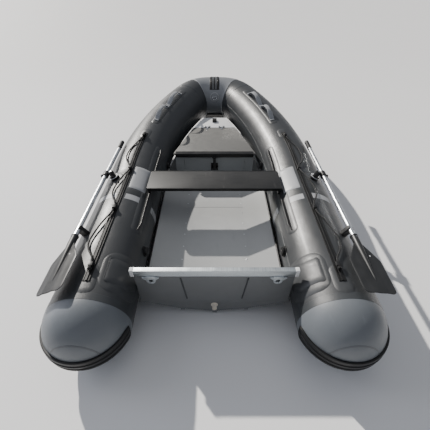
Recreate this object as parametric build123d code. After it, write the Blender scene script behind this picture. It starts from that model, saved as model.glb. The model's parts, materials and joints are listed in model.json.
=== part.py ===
"""Inflatable dinghy with an aluminium V hull, two stowed oars and a bow locker.

Millimetres. +Y points to the bow, +X to starboard, +Z up.
The origin is under the middle of the boat, level with the lowest line of the keel.
"""
import os
from math import cos, degrees, pi, radians, sin, tan

from build123d import *

# Overall form
beam = 1684.0
tube_radius = 212.0
tube_wall = 1.2
tube_axis_height = 212.0
stern_seam_y = -1345.0
rise_start_y = -274.5
rise_radius = 600.0
rise_angle = 6.0
shoulder_radius = 3070.0
shoulder_angle = 28.0
bow_bend_radius = 233.6
skin_gap = 0.3

# Patches and wear parts on the tube
patch_thickness = 1.5
bow_patch_angle = 36.0
strake_height = 74.0
strake_thickness = 5.0
strake_rib_height = 4.0
strake_rib_width = 16.0
chafe_width = 104.0
chafe_thickness = 2.5
chafe_rib_thickness = 5.0
chafe_rib_width = 16.0
chafe_span = (20.0, 139.0)
ring_patch_radius = 48.0
ring_patch_angle = 154.0
ring_wire = 3.0
ring_width = 34.0
ring_drop = 30.0
ring_lift = 1.5
ring_lug_wall = 2.5
ring_lug_cover = 0.6
ring_clearance = 0.1

# Hull
keel_height = 20.0
lift_start_y = 560.0
lift_run = 560.0
hull_sheet = 3.0
transom_y = -1173.0
transom_thickness = 20.0
transom_side_gap = 0.5
transom_chine_half = 430.0
transom_chine_height = 122.0
strake_line_x = 187.0
strake_line_height = 50.0
hull_fore_s = 2560.0
hull_edge_angle = -155.0
hull_fore_edge_angle = -138.0
hull_edge_gap = 10.0
hull_edge_drop = 12.0
keel_width = 26.0
keel_length = 1500.0
strake_box = (22.0, 840.0, 16.0)
strake_box_drop = 11.0
deck_height = 120.0
deck_half_width = 225.0
deck_edge_half = 408.0
deck_edge_height = 165.0
deck_fore_y = 118.0
deck_sheet = 3.0
deck_nose_y = 640.0

# Transom rail, towing eyes and drain
rail_top = 405.0
rail_height = 44.0
rail_depth = 26.0
rail_half_width = 428.0
rail_wall = 3.0
eye_x = 330.0
eye_drop = 28.0
eye_radius = 24.0
eye_hole_radius = 11.0
eye_thickness = 8.0
drain_height = 92.0
drain_flange_radius = 20.0
drain_outer_radius = 13.0
drain_bore_radius = 9.0
drain_reach = 30.0
drain_flange_thickness = 4.0
rail_overhang = 4.0
rail_end_wall = 8.0
transom_cheek_rise = 30.0
transom_patch_span = (112.0, 168.0)
transom_patch_length = 150.0
transom_patch_lead = 62.0

# Thwart and its tracks
thwart_length = 940.0
thwart_width = 220.0
thwart_thickness = 20.0
thwart_top = 402.0
thwart_aft_y = -471.0
track_angle = 138.0
track_rope_radius = 4.0
track_web = 1.6
track_web_reach = 15.0
track_aft_s = 520.0
track_fore_s = 1465.0
track_half_span = 12.0
bracket_clearance = 0.6
bracket_width = 19.0
bracket_floor = 2.4
bracket_length = 176.0
bracket_inset = 10.0
board_corner_radius = 14.0

# Bow locker
locker_aft_y = 120.0
locker_half_aft = 338.0
locker_half_fore = 200.0
locker_rim = 344.0
locker_sheet = 2.5
lid_thickness = 4.0
lid_overhang = 18.0
lid_gap = 1.5
lid_rim_depth = 12.0
lid_rim_clearance = 4.0
hinge_y = 603.0
hinge_x = 70.0
knuckle_radius = 5.0
hinge_pin_radius = 2.5
hinge_clearance = 0.1
hinge_length = 60.0
hinge_end_gap = 1.0
hinge_web = 5.0
lid_fore_gap = 6.0
tub_fore_reach = 14.0
foredeck_lap = 5.0
leaf_reach = 32.0
leaf_thickness = 2.0
foredeck_fore_y = 841.0
foredeck_half_fore = 108.0
trim_height = 30.0
trim_depth = 16.0
latch_width = 26.0
latch_drop = 112.0
latch_thickness = 7.0
latch_bar_radius = 6.0
latch_clearance = 0.4
latch_pin_radius = 3.0
latch_pin_clearance = 0.08
latch_eye_radius = 5.8
latch_ear = (6.0, 16.0, 12.0)
latch_bar_overhang = 7.0
trim_inset = 6.0
trim_corner_radius = 8.0
cradle_overhang = 17.0
cradle_height = 22.0
cradle_back = (6.0, 60.0)

# Valves
valve_flange_radius = 34.0
valve_flange_height = 4.0
valve_neck_radius = 24.0
valve_neck_height = 9.0
valve_cap_radius = 27.0
valve_clearance = 0.4
valve_neck_wall = 6.0
valve_pin_radius = 4.0
valve_cap_top = 4.0
valve_cap_fit = 0.3
valve_grip = (40.0, 6.0, 3.0)
valve_places = {"aft": (430.0, 168.0), "fore": (1430.0, 177.0)}

# Oars and their fittings
oarlock_y = -360.0
oarlock_angle = 68.0
oarlock_base_radius = 33.0
oarlock_base_height = 20.0
oar_height = 52.0
oar_offset = 42.0
oar_radius = 14.0
oar_wall = 1.5
oar_fore_y = 132.0
grip_length = 118.0
grip_radius = 17.0
oar_joint_y = -690.0
ferrule_fore_y = -966.0
ferrule_radius = 19.0
ferrule_length = 62.0
blade_length = 300.0
blade_half_width = 85.5
blade_neck_half = 20.0
blade_thickness = 6.0
collar_radius = 22.0
collar_length = 46.0
collar_clearance = 0.08
swivel_radius = 17.0
swivel_bolt_radius = 6.0
swivel_pin_radius = 8.0
swivel_pin_clearance = 0.06
swivel_pin_depth = 16.0
swivel_head_rise = 12.0
oarlock_base_sink = 12.0
screw_radius = 4.0
screw_reach = 2.0
knob_radius = 13.0
knob_length = 16.0
clip_y = -905.0
clip_width = 24.0
clip_wall = 5.0
clip_clearance = 0.5
clip_rise = 10.0
clip_sink = 6.0
clip_lip = 2.5
button_radius = 3.5
button_clearance = 0.1
button_proud = 3.0
button_root = 9.0
button_set_back = 16.0
plug_depth = 4.0
ferrule_wall = 6.0
blade_widest_share = 0.42
blade_tip_narrowing = 6.0
blade_corner_radius = 26.0
blade_spine_share = 0.78
blade_roll = {"starboard": 8.0, "port": 26.0}

# Lifelines
rail_angle = 93.0
strip_half_span = 4.8
strip_thickness = 4.0
strip_rib = 9.0
strip_rib_height = 4.0
strip_aft_s = 95.0
strip_fore_s = 1600.0
fairlead_gap = 0.3
fairlead_length = 24.0
fairlead_width = 20.0
fairlead_height = 20.0
fairlead_hole_height = 9.5
rope_radius = 5.0
rope_clearance = 1.0
fairlead_stations = [1544.0, 1087.0, 628.0, 183.0]

# Carry handles
handle_angle = 98.0
handle_patch_width = 70.0
handle_width = 38.0
handle_thickness = 2.5
handle_rise = 50.0
handle_foot = 40.0
handle_foot_layers = 2.4
handle_patch_span = (1770.0, 2470.0)
handle_spans = [(1840.0, 2080.0), (2125.0, 2368.0)]

# Points of the starboard lifeline from bow to stern, chosen by hand. The port one mirrors it.
rope_points = [
    (587.5, 193.5, 489.0),
    (595.2, 135.0, 482.7),
    (631.0, 81.0, 465.5),
    (670.0, 2.0, 451.0),
    (683.0, -98.0, 445.3),
    (661.0, -186.0, 443.4),
    (618.0, -237.0, 443.4),
    (618.0, -298.0, 441.8),
    (642.0, -350.0, 439.7),
    (663.0, -424.0, 434.5),
    (680.0, -520.0, 430.3),
    (659.0, -610.0, 436.1),
    (618.0, -671.0, 441.8),
    (618.0, -759.0, 441.8),
    (646.0, -815.0, 438.4),
    (673.0, -905.0, 432.9),
    (690.0, -1001.0, 427.9),
    (661.0, -1068.0, 435.8),
    (618.0, -1124.0, 441.8),
    (618.0, -1186.0, 441.8),
]
knot_radius = 9.5

# Lengths along the tube axis, from the stern seam to the bow centre line
axis_x = beam / 2 - tube_radius
straight_length = rise_start_y - stern_seam_y
rise = radians(rise_angle)
rise_length = rise_radius * rise
shoulder = radians(shoulder_angle)
shoulder_length = shoulder_radius * shoulder
bend_length = bow_bend_radius * (pi / 2 - shoulder)
s_rise = straight_length
s_shoulder = s_rise + rise_length
s_bend = s_shoulder + shoulder_length
s_nose = s_bend + bend_length
bend_centre_x = axis_x - shoulder_radius + (shoulder_radius - bow_bend_radius) * cos(shoulder)
s_bow = s_nose + bend_centre_x
breaks = [s_rise, s_shoulder, s_bend, s_nose]
nose_along = (shoulder_radius - bow_bend_radius) * sin(shoulder) + bow_bend_radius
ramp_foot_y = rise_start_y + rise_radius * sin(rise)
ramp_foot_z = tube_axis_height + rise_radius * (1 - cos(rise))
ramp_foot = Vector(0, ramp_foot_y, ramp_foot_z)
ramp = Vector(0, cos(rise), sin(rise))
side = Vector(1, 0, 0)


def axis_frame(s):
    """Point on the starboard tube axis, with its forward and outboard directions."""
    if s <= s_rise:
        return Vector(axis_x, stern_seam_y + s, tube_axis_height), Vector(0, 1, 0), side
    if s <= s_shoulder:
        turn = (s - s_rise) / rise_radius
        height = tube_axis_height + rise_radius * (1 - cos(turn))
        point = Vector(axis_x, rise_start_y + rise_radius * sin(turn), height)
        return point, Vector(0, cos(turn), sin(turn)), side
    if s <= s_bend:
        turn = (s - s_shoulder) / shoulder_radius
        across = axis_x - shoulder_radius * (1 - cos(turn))
        along = shoulder_radius * sin(turn)
    elif s <= s_nose:
        turn = shoulder + (s - s_bend) / bow_bend_radius
        across = bend_centre_x + bow_bend_radius * cos(turn)
        along = (shoulder_radius - bow_bend_radius) * sin(shoulder) + bow_bend_radius * sin(turn)
    else:
        turn = pi / 2
        across = bend_centre_x - (s - s_nose)
        along = nose_along
    point = ramp_foot + side * across + ramp * along
    forward = side * -sin(turn) + ramp * cos(turn)
    outboard = side * cos(turn) + ramp * sin(turn)
    return point, forward, outboard


def section(s):
    """Plane across the tube at s, with local x outboard and local y up."""
    point, forward, outboard = axis_frame(s)
    return Plane(origin=point, x_dir=outboard, z_dir=forward * -1)


def spot(s, angle, radius):
    """Point at an angle round the tube, from outboard through the top."""
    turn = radians(angle)
    return section(s).from_local_coords(Vector(radius * cos(turn), radius * sin(turn), 0))


def route(s_from, s_to, angle=0.0, radius=0.0):
    """Line and arc path beside the tube axis."""
    stops = [s_from] + [b for b in breaks if s_from < b < s_to] + [s_to]
    edges = []
    for start, end in zip(stops, stops[1:]):
        middle = (start + end) / 2
        first = spot(start, angle, radius)
        last = spot(end, angle, radius)
        if middle < s_rise or middle > s_nose:
            edges.append(Line(first, last))
        else:
            edges.append(ThreePointArc(first, spot(middle, angle, radius), last))
    return Wire([edge.edge() for edge in edges])


def polar(angle, radius):
    return (radius * cos(radians(angle)), radius * sin(radians(angle)))


def band(angle_from, angle_to, inner, outer):
    """Curved strip section lying on the tube, in the section plane."""
    middle = (angle_from + angle_to) / 2
    low = ThreePointArc(polar(angle_from, inner), polar(middle, inner), polar(angle_to, inner))
    high = ThreePointArc(polar(angle_to, outer), polar(middle, outer), polar(angle_from, outer))
    ends = [Line(low @ 1, high @ 0), Line(high @ 1, low @ 0)]
    return make_face([low.edge(), ends[0].edge(), high.edge(), ends[1].edge()])


def bar(angle, low, high, width):
    """Straight rib section standing on the tube, in the section plane."""
    centre = polar(angle, (low + high) / 2)
    return Pos(centre[0], centre[1]) * Rot(0, 0, angle) * Rectangle(high - low, width)


def along_tube(face, s_from, s_to):
    """Sweep a section face along the tube, from s_from to s_to."""
    return sweep(section(s_from) * face, path=route(s_from, s_to))


def mirrored(shape):
    return mirror(shape, about=Plane.YZ)


def both(shapes):
    """Starboard shapes and their port copies."""
    return list(shapes) + [mirrored(shape) for shape in shapes]


def save(name, shapes):
    solids = [solid for shape in shapes for solid in shape.solids()]
    body = solids[0] if len(solids) == 1 else Compound(solids)
    export_step(body, os.path.join("parts", name + ".step"))


def tube_core(clearance):
    """Solid cylinder of the straight part of the starboard tube, for fitting pieces to it."""
    length = straight_length + 200
    middle = stern_seam_y + straight_length / 2
    return Pos(axis_x, middle, tube_axis_height) * Rot(90, 0, 0) * Cylinder(tube_radius + clearance, length)


def build_tubes():
    ring = Circle(tube_radius) - Circle(tube_radius - tube_wall)
    aft = along_tube(ring, 0, s_rise)
    fore = along_tube(ring, s_rise, s_bow)
    outer = Sphere(tube_radius)
    hollow = outer - Sphere(tube_radius - tube_wall)
    stern_half = Pos(0, -tube_radius, 0) * Box(3 * tube_radius, 2 * tube_radius, 3 * tube_radius)
    cone = Pos(axis_x, stern_seam_y, tube_axis_height) * (hollow & stern_half)
    disc = Circle(tube_radius - tube_wall - skin_gap)
    middle_baffle = extrude(section(s_rise) * disc, amount=tube_wall)
    bow_baffle = extrude(section(s_bow) * disc, amount=tube_wall / 2, both=True)
    save("tube_starboard_aft", [aft])
    save("tube_port_aft", [mirrored(aft)])
    save("tube_starboard_fore", [fore])
    save("tube_port_fore", [mirrored(fore)])
    save("stern_cone_starboard", [cone])
    save("stern_cone_port", [mirrored(cone)])
    save("tube_baffles", both([middle_baffle]) + [bow_baffle])


def build_bow_pieces():
    inner = tube_radius + skin_gap
    outer = inner + patch_thickness
    s_patch = s_nose - bow_bend_radius * radians(bow_patch_angle)
    half = along_tube(Circle(outer) - Circle(inner), s_patch, s_bow)
    save("bow_patch", [half, mirrored(half)])

    seat = outer + skin_gap
    strip = band(*chafe_span, seat, seat + chafe_thickness)
    rib_face = band(*chafe_span, seat, seat + chafe_rib_thickness)
    base = extrude(section(s_bow) * strip, amount=chafe_width / 2, both=True)
    rib = extrude(section(s_bow) * rib_face, amount=chafe_rib_width / 2, both=True)
    for x in (-chafe_width / 4, chafe_width / 4):
        base += Pos(x, 0, 0) * rib
    save("chafe_strip", [base])

    disc_plane = Plane(
        origin=spot(s_bow, ring_patch_angle, 0),
        x_dir=(1, 0, 0),
        z_dir=spot(s_bow, ring_patch_angle, 1) - spot(s_bow, ring_patch_angle, 0),
    )
    core = extrude(section(s_bow) * Circle(seat), amount=chafe_width, both=True)
    top = extrude(section(s_bow) * Circle(seat + patch_thickness), amount=chafe_width, both=True)
    disc = extrude(disc_plane * Circle(ring_patch_radius), amount=2 * tube_radius)
    patch = (top - core) & disc
    bar_height = seat + patch_thickness + ring_wire + ring_lift
    lug_height = 2 * (ring_wire + ring_lift + ring_lug_cover)
    lug_place = disc_plane * Pos(0, 0, bar_height - ring_lug_cover)
    lug = lug_place * Box(ring_width / 2, 2 * (ring_wire + ring_lug_wall), lug_height)
    bar_place = disc_plane * Pos(0, 0, bar_height) * Rot(0, 90, 0)
    hole = bar_place * Cylinder(ring_wire + ring_clearance, ring_width)
    save("ring_patch", [(patch + (lug - core)) - hole])

    half_width = ring_width / 2
    plane = disc_plane.offset(bar_height)
    curve = ThreePointArc((half_width, 0), (0, -ring_drop), (-half_width, 0))
    bar_solid = plane * Rot(0, 90, 0) * Cylinder(ring_wire, ring_width)
    profile = Plane(origin=curve @ 0, z_dir=curve % 0) * Circle(ring_wire)
    hoop = sweep(profile, path=Wire([curve.edge()]))
    knobs = [Pos(x, 0, 0) * Sphere(ring_wire) for x in (-half_width, half_width)]
    ring = bar_solid + plane * (hoop + knobs[0] + knobs[1])
    save("bow_d_ring", [ring])
    print("bow ring axis", plane.origin)


def build_rub_strake():
    base_inner = tube_radius + skin_gap
    base_outer = base_inner + strake_thickness
    half_span = degrees(strake_height / 2 / tube_radius)
    face = band(-half_span, half_span, base_inner, base_outer)
    spacing = (strake_height - strake_rib_width) / 2
    for step in (-1, 0, 1):
        angle = degrees(step * spacing / tube_radius)
        face += bar(angle, base_outer - 2, base_outer + strake_rib_height, strake_rib_width)
    clear_patch = patch_thickness + skin_gap
    shifted = Pos(clear_patch, 0) * face
    length = along_tube(shifted, 0, s_bow)
    wrap_axis = Axis((axis_x, stern_seam_y, tube_axis_height), (0, 0, 1))
    wrap = revolve(section(0) * shifted, axis=wrap_axis, revolution_arc=-172)
    save("rub_strake", both([length, wrap]))


def hull_section(s):
    """V-shaped plate section across the hull, at the station where its edge meets the tube."""
    share = max(0.0, (s - s_rise) / (hull_fore_s - s_rise))
    angle = hull_edge_angle + share * (hull_fore_edge_angle - hull_edge_angle)
    edge = spot(s, angle, tube_radius + hull_edge_gap)
    lift = max(0.0, (edge.Y - lift_start_y) / lift_run) ** 1.6
    keel = keel_height + (edge.Z - keel_height - hull_edge_drop) * lift
    knuckle_x = edge.X * strake_line_x / transom_chine_half
    knuckle_share = (strake_line_height - keel_height) / (transom_chine_height - keel_height)
    knuckle = keel + (edge.Z - keel) * knuckle_share
    low = [(-edge.X, edge.Z), (-knuckle_x, knuckle), (0, keel), (knuckle_x, knuckle), (edge.X, edge.Z)]
    high = [(x, z + hull_sheet) for x, z in reversed(low)]
    plane = Plane(origin=(0, edge.Y, 0), x_dir=(1, 0, 0), z_dir=(0, -1, 0))
    return plane * make_face(Polyline(low + high, close=True).edges())


def build_hull():
    s_transom = transom_y + transom_thickness - stern_seam_y
    stations = [s_transom, s_rise - 60, 1500, 1900, 2250, hull_fore_s]
    save("hull_shell", [loft([hull_section(s) for s in stations], ruled=True)])

    keel_middle = transom_y + keel_length / 2
    keel = Pos(0, keel_middle, keel_height / 2) * Box(keel_width, keel_length, keel_height)
    strakes = []
    for x in (-strake_line_x, strake_line_x):
        place = Pos(x, transom_y + strake_box[1] / 2, strake_line_height - strake_box_drop)
        strakes.append(place * Box(*strake_box))
    save("hull_strakes", [keel] + strakes)

    deck_plane = Plane(origin=(0, transom_y + transom_thickness, 0), x_dir=(1, 0, 0), z_dir=(0, -1, 0))
    top = [
        (-deck_edge_half, deck_edge_height),
        (-deck_half_width, deck_height),
        (deck_half_width, deck_height),
        (deck_edge_half, deck_edge_height),
    ]
    bottom = [(x, z - deck_sheet) for x, z in reversed(top)]
    length = deck_fore_y - transom_y - transom_thickness
    deck = extrude(deck_plane * make_face(Polyline(top + bottom, close=True).edges()), amount=-length)
    nose_outline = Polyline(
        [
            (-deck_half_width, deck_fore_y),
            (deck_half_width, deck_fore_y),
            (locker_half_fore, deck_nose_y),
            (-locker_half_fore, deck_nose_y),
        ],
        close=True,
    )
    nose_plane = Plane.XY.offset(deck_height - deck_sheet)
    nose = extrude(nose_plane * make_face(nose_outline.edges()), amount=deck_sheet)
    save("deck_plate", [deck + nose])


def build_transom():
    plane = Plane(origin=(0, transom_y, 0), x_dir=(1, 0, 0), z_dir=(0, -1, 0))
    side_x = axis_x - tube_radius - transom_side_gap
    under_rail = rail_top - rail_height
    half = [
        (0, keel_height),
        (strake_line_x, strake_line_height),
        (transom_chine_half, transom_chine_height),
        (side_x, transom_chine_height + transom_cheek_rise),
        (side_x, under_rail),
    ]
    outline = half + [(-x, z) for x, z in reversed(half[1:])]
    plate = extrude(plane * make_face(Polyline(outline, close=True).edges()), amount=-transom_thickness)
    drain = Plane(origin=(0, transom_y, drain_height), z_dir=(0, -1, 0))
    hole = drain * Cylinder(drain_outer_radius, 4 * transom_thickness)
    save("transom_plate", [plate - hole])

    flange = extrude(drain * Circle(drain_flange_radius), amount=drain_flange_thickness)
    spout_length = transom_thickness + drain_reach
    spout = extrude(drain.offset(-transom_thickness) * Circle(drain_outer_radius), amount=spout_length)
    bore = drain * Cylinder(drain_bore_radius, 6 * drain_reach)
    save("drain_spout", [flange + spout - bore])

    rail_y = transom_y + rail_depth / 2 - rail_overhang
    rail_place = Pos(0, rail_y, rail_top - rail_height / 2)
    hollow_length = 2 * (rail_half_width - rail_end_wall)
    rail = rail_place * Box(2 * rail_half_width, rail_depth, rail_height)
    rail -= rail_place * Box(hollow_length, rail_depth - 2 * rail_wall, rail_height - 2 * rail_wall)
    eye_plane = Plane(origin=(0, rail_y - rail_depth / 2, 0), x_dir=(1, 0, 0), z_dir=(0, -1, 0))
    for x in (-eye_x, eye_x):
        ear = Pos(x, under_rail - eye_drop) * Circle(eye_radius)
        neck = Rectangle(2 * eye_radius, eye_drop + 2 * rail_wall)
        ear += Pos(x, under_rail - eye_drop / 2 + rail_wall) * neck
        ear -= Pos(x, under_rail - eye_drop) * Circle(eye_hole_radius)
        rail += extrude(eye_plane * ear, amount=eye_thickness)
    save("transom_rail", [rail])

    inner = tube_radius + skin_gap
    strip = band(*transom_patch_span, inner, inner + patch_thickness)
    start = transom_y - stern_seam_y - transom_patch_lead
    patch = extrude(section(start) * strip, amount=-transom_patch_length)
    save("transom_patches", both([patch]))


def build_thwart():
    middle_y = thwart_aft_y + thwart_width / 2
    board_place = Pos(0, middle_y, thwart_top - thwart_thickness / 2)
    board = board_place * Box(thwart_length, thwart_width, thwart_thickness)
    board = fillet(board.edges().filter_by(Axis.Z), radius=board_corner_radius)
    save("thwart_board", [board])

    inner = tube_radius + skin_gap
    pad_span = (track_angle - track_half_span, track_angle + track_half_span)
    pad = band(*pad_span, inner, inner + patch_thickness)
    root = polar(track_angle, inner + patch_thickness / 2)
    rope_x = root[0] - track_web_reach
    rope_y = root[1]
    web = Pos((root[0] + rope_x) / 2, rope_y) * Rectangle(track_web_reach, track_web)
    bead = Pos(rope_x, rope_y) * Circle(track_rope_radius)
    save("seat_tracks", both([along_tube(pad + web + bead, track_aft_s, track_fore_s)]))

    rope_height = tube_axis_height + rope_y
    rope_world_x = axis_x + rope_x
    slot_radius = track_rope_radius + bracket_clearance
    floor = rope_height - slot_radius - bracket_floor
    ceiling = thwart_top - thwart_thickness
    outer_x = rope_world_x + slot_radius + bracket_floor
    centre_x = outer_x - bracket_width / 2
    plane = Plane(origin=(0, thwart_aft_y + bracket_inset, 0), x_dir=(1, 0, 0), z_dir=(0, -1, 0))
    face = Pos(centre_x, (floor + ceiling) / 2) * Rectangle(bracket_width, ceiling - floor)
    face -= Pos(rope_world_x, rope_height) * Circle(slot_radius)
    gap = track_web + 2 * bracket_clearance
    face -= Pos(rope_world_x + slot_radius, rope_height) * Rectangle(4 * bracket_floor + slot_radius, gap)
    bracket = extrude(plane * face, amount=-bracket_length)
    save("thwart_brackets", both([bracket]))


def locker_outline(margin, aft, fore):
    """Locker plan outline between two stations, with its sides moved out by margin."""
    taper = (locker_half_aft - locker_half_fore) / (hinge_y - locker_aft_y)
    aft_half = locker_half_aft - taper * (aft - locker_aft_y) + margin
    fore_half = locker_half_aft - taper * (fore - locker_aft_y) + margin
    points = [(-aft_half, aft), (aft_half, aft), (fore_half, fore), (-fore_half, fore)]
    return make_face(Polyline(points, close=True).edges())


def build_locker():
    tub_fore = hinge_y + tub_fore_reach
    outer_face = locker_outline(0, locker_aft_y, tub_fore)
    outer = extrude(Plane.XY.offset(deck_height) * outer_face, amount=locker_rim - deck_height)
    inner_face = locker_outline(-locker_sheet, locker_aft_y + locker_sheet, tub_fore - locker_sheet)
    inner = extrude(Plane.XY.offset(deck_height + locker_sheet) * inner_face, amount=locker_rim)
    save("locker_tub", [outer - inner])

    fore_half = locker_half_fore
    points = [
        (-fore_half, hinge_y + foredeck_lap),
        (fore_half, hinge_y + foredeck_lap),
        (foredeck_half_fore, foredeck_fore_y),
        (-foredeck_half_fore, foredeck_fore_y),
    ]
    plate_face = make_face(Polyline(points, close=True).edges())
    plate = extrude(Plane.XY.offset(locker_rim) * plate_face, amount=lid_thickness)
    save("foredeck", [plate])

    lid_aft = locker_aft_y - lid_overhang
    lid_low = locker_rim + lid_gap
    lid_top = lid_low + lid_thickness
    lid_fore = hinge_y - lid_fore_gap
    lid_margin = lid_rim_clearance + locker_sheet
    sheet_face = locker_outline(lid_margin, lid_aft, lid_fore)
    sheet = extrude(Plane.XY.offset(lid_low) * sheet_face, amount=lid_thickness)
    skirt_fore = lid_fore - leaf_reach
    skirt_outer = locker_outline(lid_margin, lid_aft, skirt_fore)
    skirt_inner = locker_outline(lid_rim_clearance, lid_aft + locker_sheet, hinge_y)
    skirt_plane = Plane.XY.offset(lid_low - lid_rim_depth)
    skirt = extrude(skirt_plane * (skirt_outer - skirt_inner), amount=lid_rim_depth)
    save("locker_lid", [sheet + skirt])

    half = locker_half_aft - trim_inset
    trim_y = lid_aft - trim_depth / 2
    trim_z = lid_top - trim_height / 2
    trim = Pos(0, trim_y, trim_z) * Box(2 * half, trim_depth, trim_height)
    trim = fillet(trim.edges().filter_by(Axis.Y), radius=trim_corner_radius)
    pivot = (lid_aft - trim_depth - latch_ear[2] / 2, lid_top - trim_height + latch_pin_radius)
    ear_x = latch_width / 2 + latch_clearance + latch_ear[0] / 2
    for x in (-ear_x, ear_x):
        trim += Pos(x, pivot[0] + (latch_ear[1] - latch_ear[2]) / 2, pivot[1]) * Box(*latch_ear)
    trim += Pos(0, *pivot) * Rot(0, 90, 0) * Cylinder(latch_pin_radius, 2 * ear_x)
    save("lid_trim", [trim])

    strap_y = pivot[0]
    bar_z = pivot[1] - latch_drop
    bar_length = latch_width + 2 * latch_bar_overhang
    strap_box = Box(latch_width - latch_thickness / 2, latch_thickness, latch_drop)
    strap = Pos(0, *pivot) * Rot(0, 90, 0) * Cylinder(latch_eye_radius, latch_width)
    strap += Pos(0, strap_y, pivot[1] - latch_drop / 2) * strap_box
    strap += Pos(0, strap_y, bar_z) * Rot(0, 90, 0) * Cylinder(latch_bar_radius, bar_length)
    pin_hole = Cylinder(latch_pin_radius + latch_pin_clearance, 2 * latch_width)
    strap -= Pos(0, *pivot) * Rot(0, 90, 0) * pin_hole
    save("latch_strap", [strap])

    cradle_radius = latch_bar_radius + latch_clearance
    depth = locker_aft_y - strap_y
    width = latch_width + 2 * cradle_overhang
    back_thickness, back_height = cradle_back
    block = Pos(0, strap_y + depth / 2, bar_z - latch_bar_radius + 2) * Box(width, depth, cradle_height)
    back = Box(width, back_thickness, back_height)
    block += Pos(0, locker_aft_y - back_thickness / 2, bar_z + latch_bar_radius) * back
    block -= Pos(0, strap_y, bar_z) * Rot(0, 90, 0) * Cylinder(cradle_radius, 2 * width)
    above = Pos(0, strap_y, bar_z + cradle_height) * Box(2 * width, 2 * cradle_radius, 2 * cradle_height)
    save("latch_cradle", [block - above])

    axis_z = lid_top + knuckle_radius
    third = hinge_length / 3
    leaf_length = third - hinge_end_gap
    fore_top = locker_rim + lid_thickness
    leaf_box = Box(leaf_length, leaf_reach, leaf_thickness)
    barrel = Rot(0, 90, 0) * Cylinder(knuckle_radius, leaf_length)
    bore = Rot(0, 90, 0) * Cylinder(hinge_pin_radius + hinge_clearance, hinge_length)
    fixed_web = Box(leaf_length, hinge_web, axis_z - fore_top)
    lid_web = Box(leaf_length, hinge_web - 1, knuckle_radius)
    fixed = []
    moving = []
    for x in (-hinge_x, hinge_x):
        for centre in (x - third, x + third):
            leaf_y = hinge_y + hinge_web + leaf_reach / 2
            fixed.append(Pos(centre, hinge_y, axis_z) * barrel)
            fixed.append(Pos(centre, leaf_y, fore_top + leaf_thickness / 2) * leaf_box)
            fixed.append(Pos(centre, hinge_y + hinge_web - 1, (fore_top + axis_z) / 2) * fixed_web)
        fixed.append(Pos(x, hinge_y, axis_z) * Rot(0, 90, 0) * Cylinder(hinge_pin_radius, hinge_length))
        knuckle = Pos(x, hinge_y, axis_z) * barrel
        knuckle += Pos(x, hinge_y - lid_fore_gap - leaf_reach / 2, lid_top + leaf_thickness / 2) * leaf_box
        knuckle += Pos(x, hinge_y - hinge_web, lid_top + knuckle_radius / 2) * lid_web
        moving.append(knuckle - Pos(x, hinge_y, axis_z) * bore)
    hinge_parts = fixed[0]
    for piece in fixed[1:]:
        hinge_parts += piece
    save("hinge_fixed_leaves", [hinge_parts])
    save("hinge_lid_leaves", moving)
    print("lid hinge", hinge_y, axis_z, "latch pivot", pivot)


def build_valves():
    bodies = []
    for name, (s, angle) in valve_places.items():
        out = spot(s, angle, 1) - spot(s, angle, 0)
        plane = Plane(origin=spot(s, angle, 0), x_dir=axis_frame(s)[1], z_dir=out)
        core_face = section(s) * Circle(tube_radius + skin_gap)
        core = extrude(core_face, amount=3 * valve_flange_radius, both=True)
        seat = tube_radius + valve_flange_height
        flange = extrude(plane * Circle(valve_flange_radius), amount=seat) - core
        neck = extrude(plane.offset(seat - 1) * Circle(valve_neck_radius), amount=valve_neck_height + 1)
        bore_plane = plane.offset(seat - valve_flange_height / 2)
        bore = extrude(bore_plane * Circle(valve_neck_radius - valve_neck_wall), amount=valve_cap_radius)
        pin = extrude(bore_plane * Circle(valve_pin_radius), amount=valve_neck_height)
        body = (flange + neck) - bore + pin
        cap_low = seat + valve_clearance
        hollow_height = valve_neck_height + valve_clearance
        cap_height = hollow_height + valve_cap_top
        cap = extrude(plane.offset(cap_low) * Circle(valve_cap_radius), amount=cap_height)
        hollow_radius = valve_neck_radius + valve_cap_fit
        cap -= extrude(plane.offset(cap_low) * Circle(hollow_radius), amount=hollow_height)
        grip_length, grip_width, grip_height = valve_grip
        grip_face = plane.offset(cap_low + cap_height) * Rectangle(grip_length, grip_width)
        cap += extrude(grip_face, amount=grip_height)
        bodies += both([body])
        save("valve_cap_starboard_" + name, [cap])
        save("valve_cap_port_" + name, [mirrored(cap)])
        print("valve", name, plane.origin, plane.z_dir)
    save("valve_bodies", bodies)


def oar_frame():
    """Directions and points of the starboard oarlock: up its pin, and along its cross bolt."""
    turn = radians(oarlock_angle)
    up = Vector(cos(turn), 0, sin(turn))
    out = Vector(sin(turn), 0, -cos(turn))
    foot = Vector(axis_x, oarlock_y, tube_axis_height)
    hub = foot + up * (tube_radius + oar_height)
    shaft = hub + out * oar_offset
    return up, out, foot, hub, shaft


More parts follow.
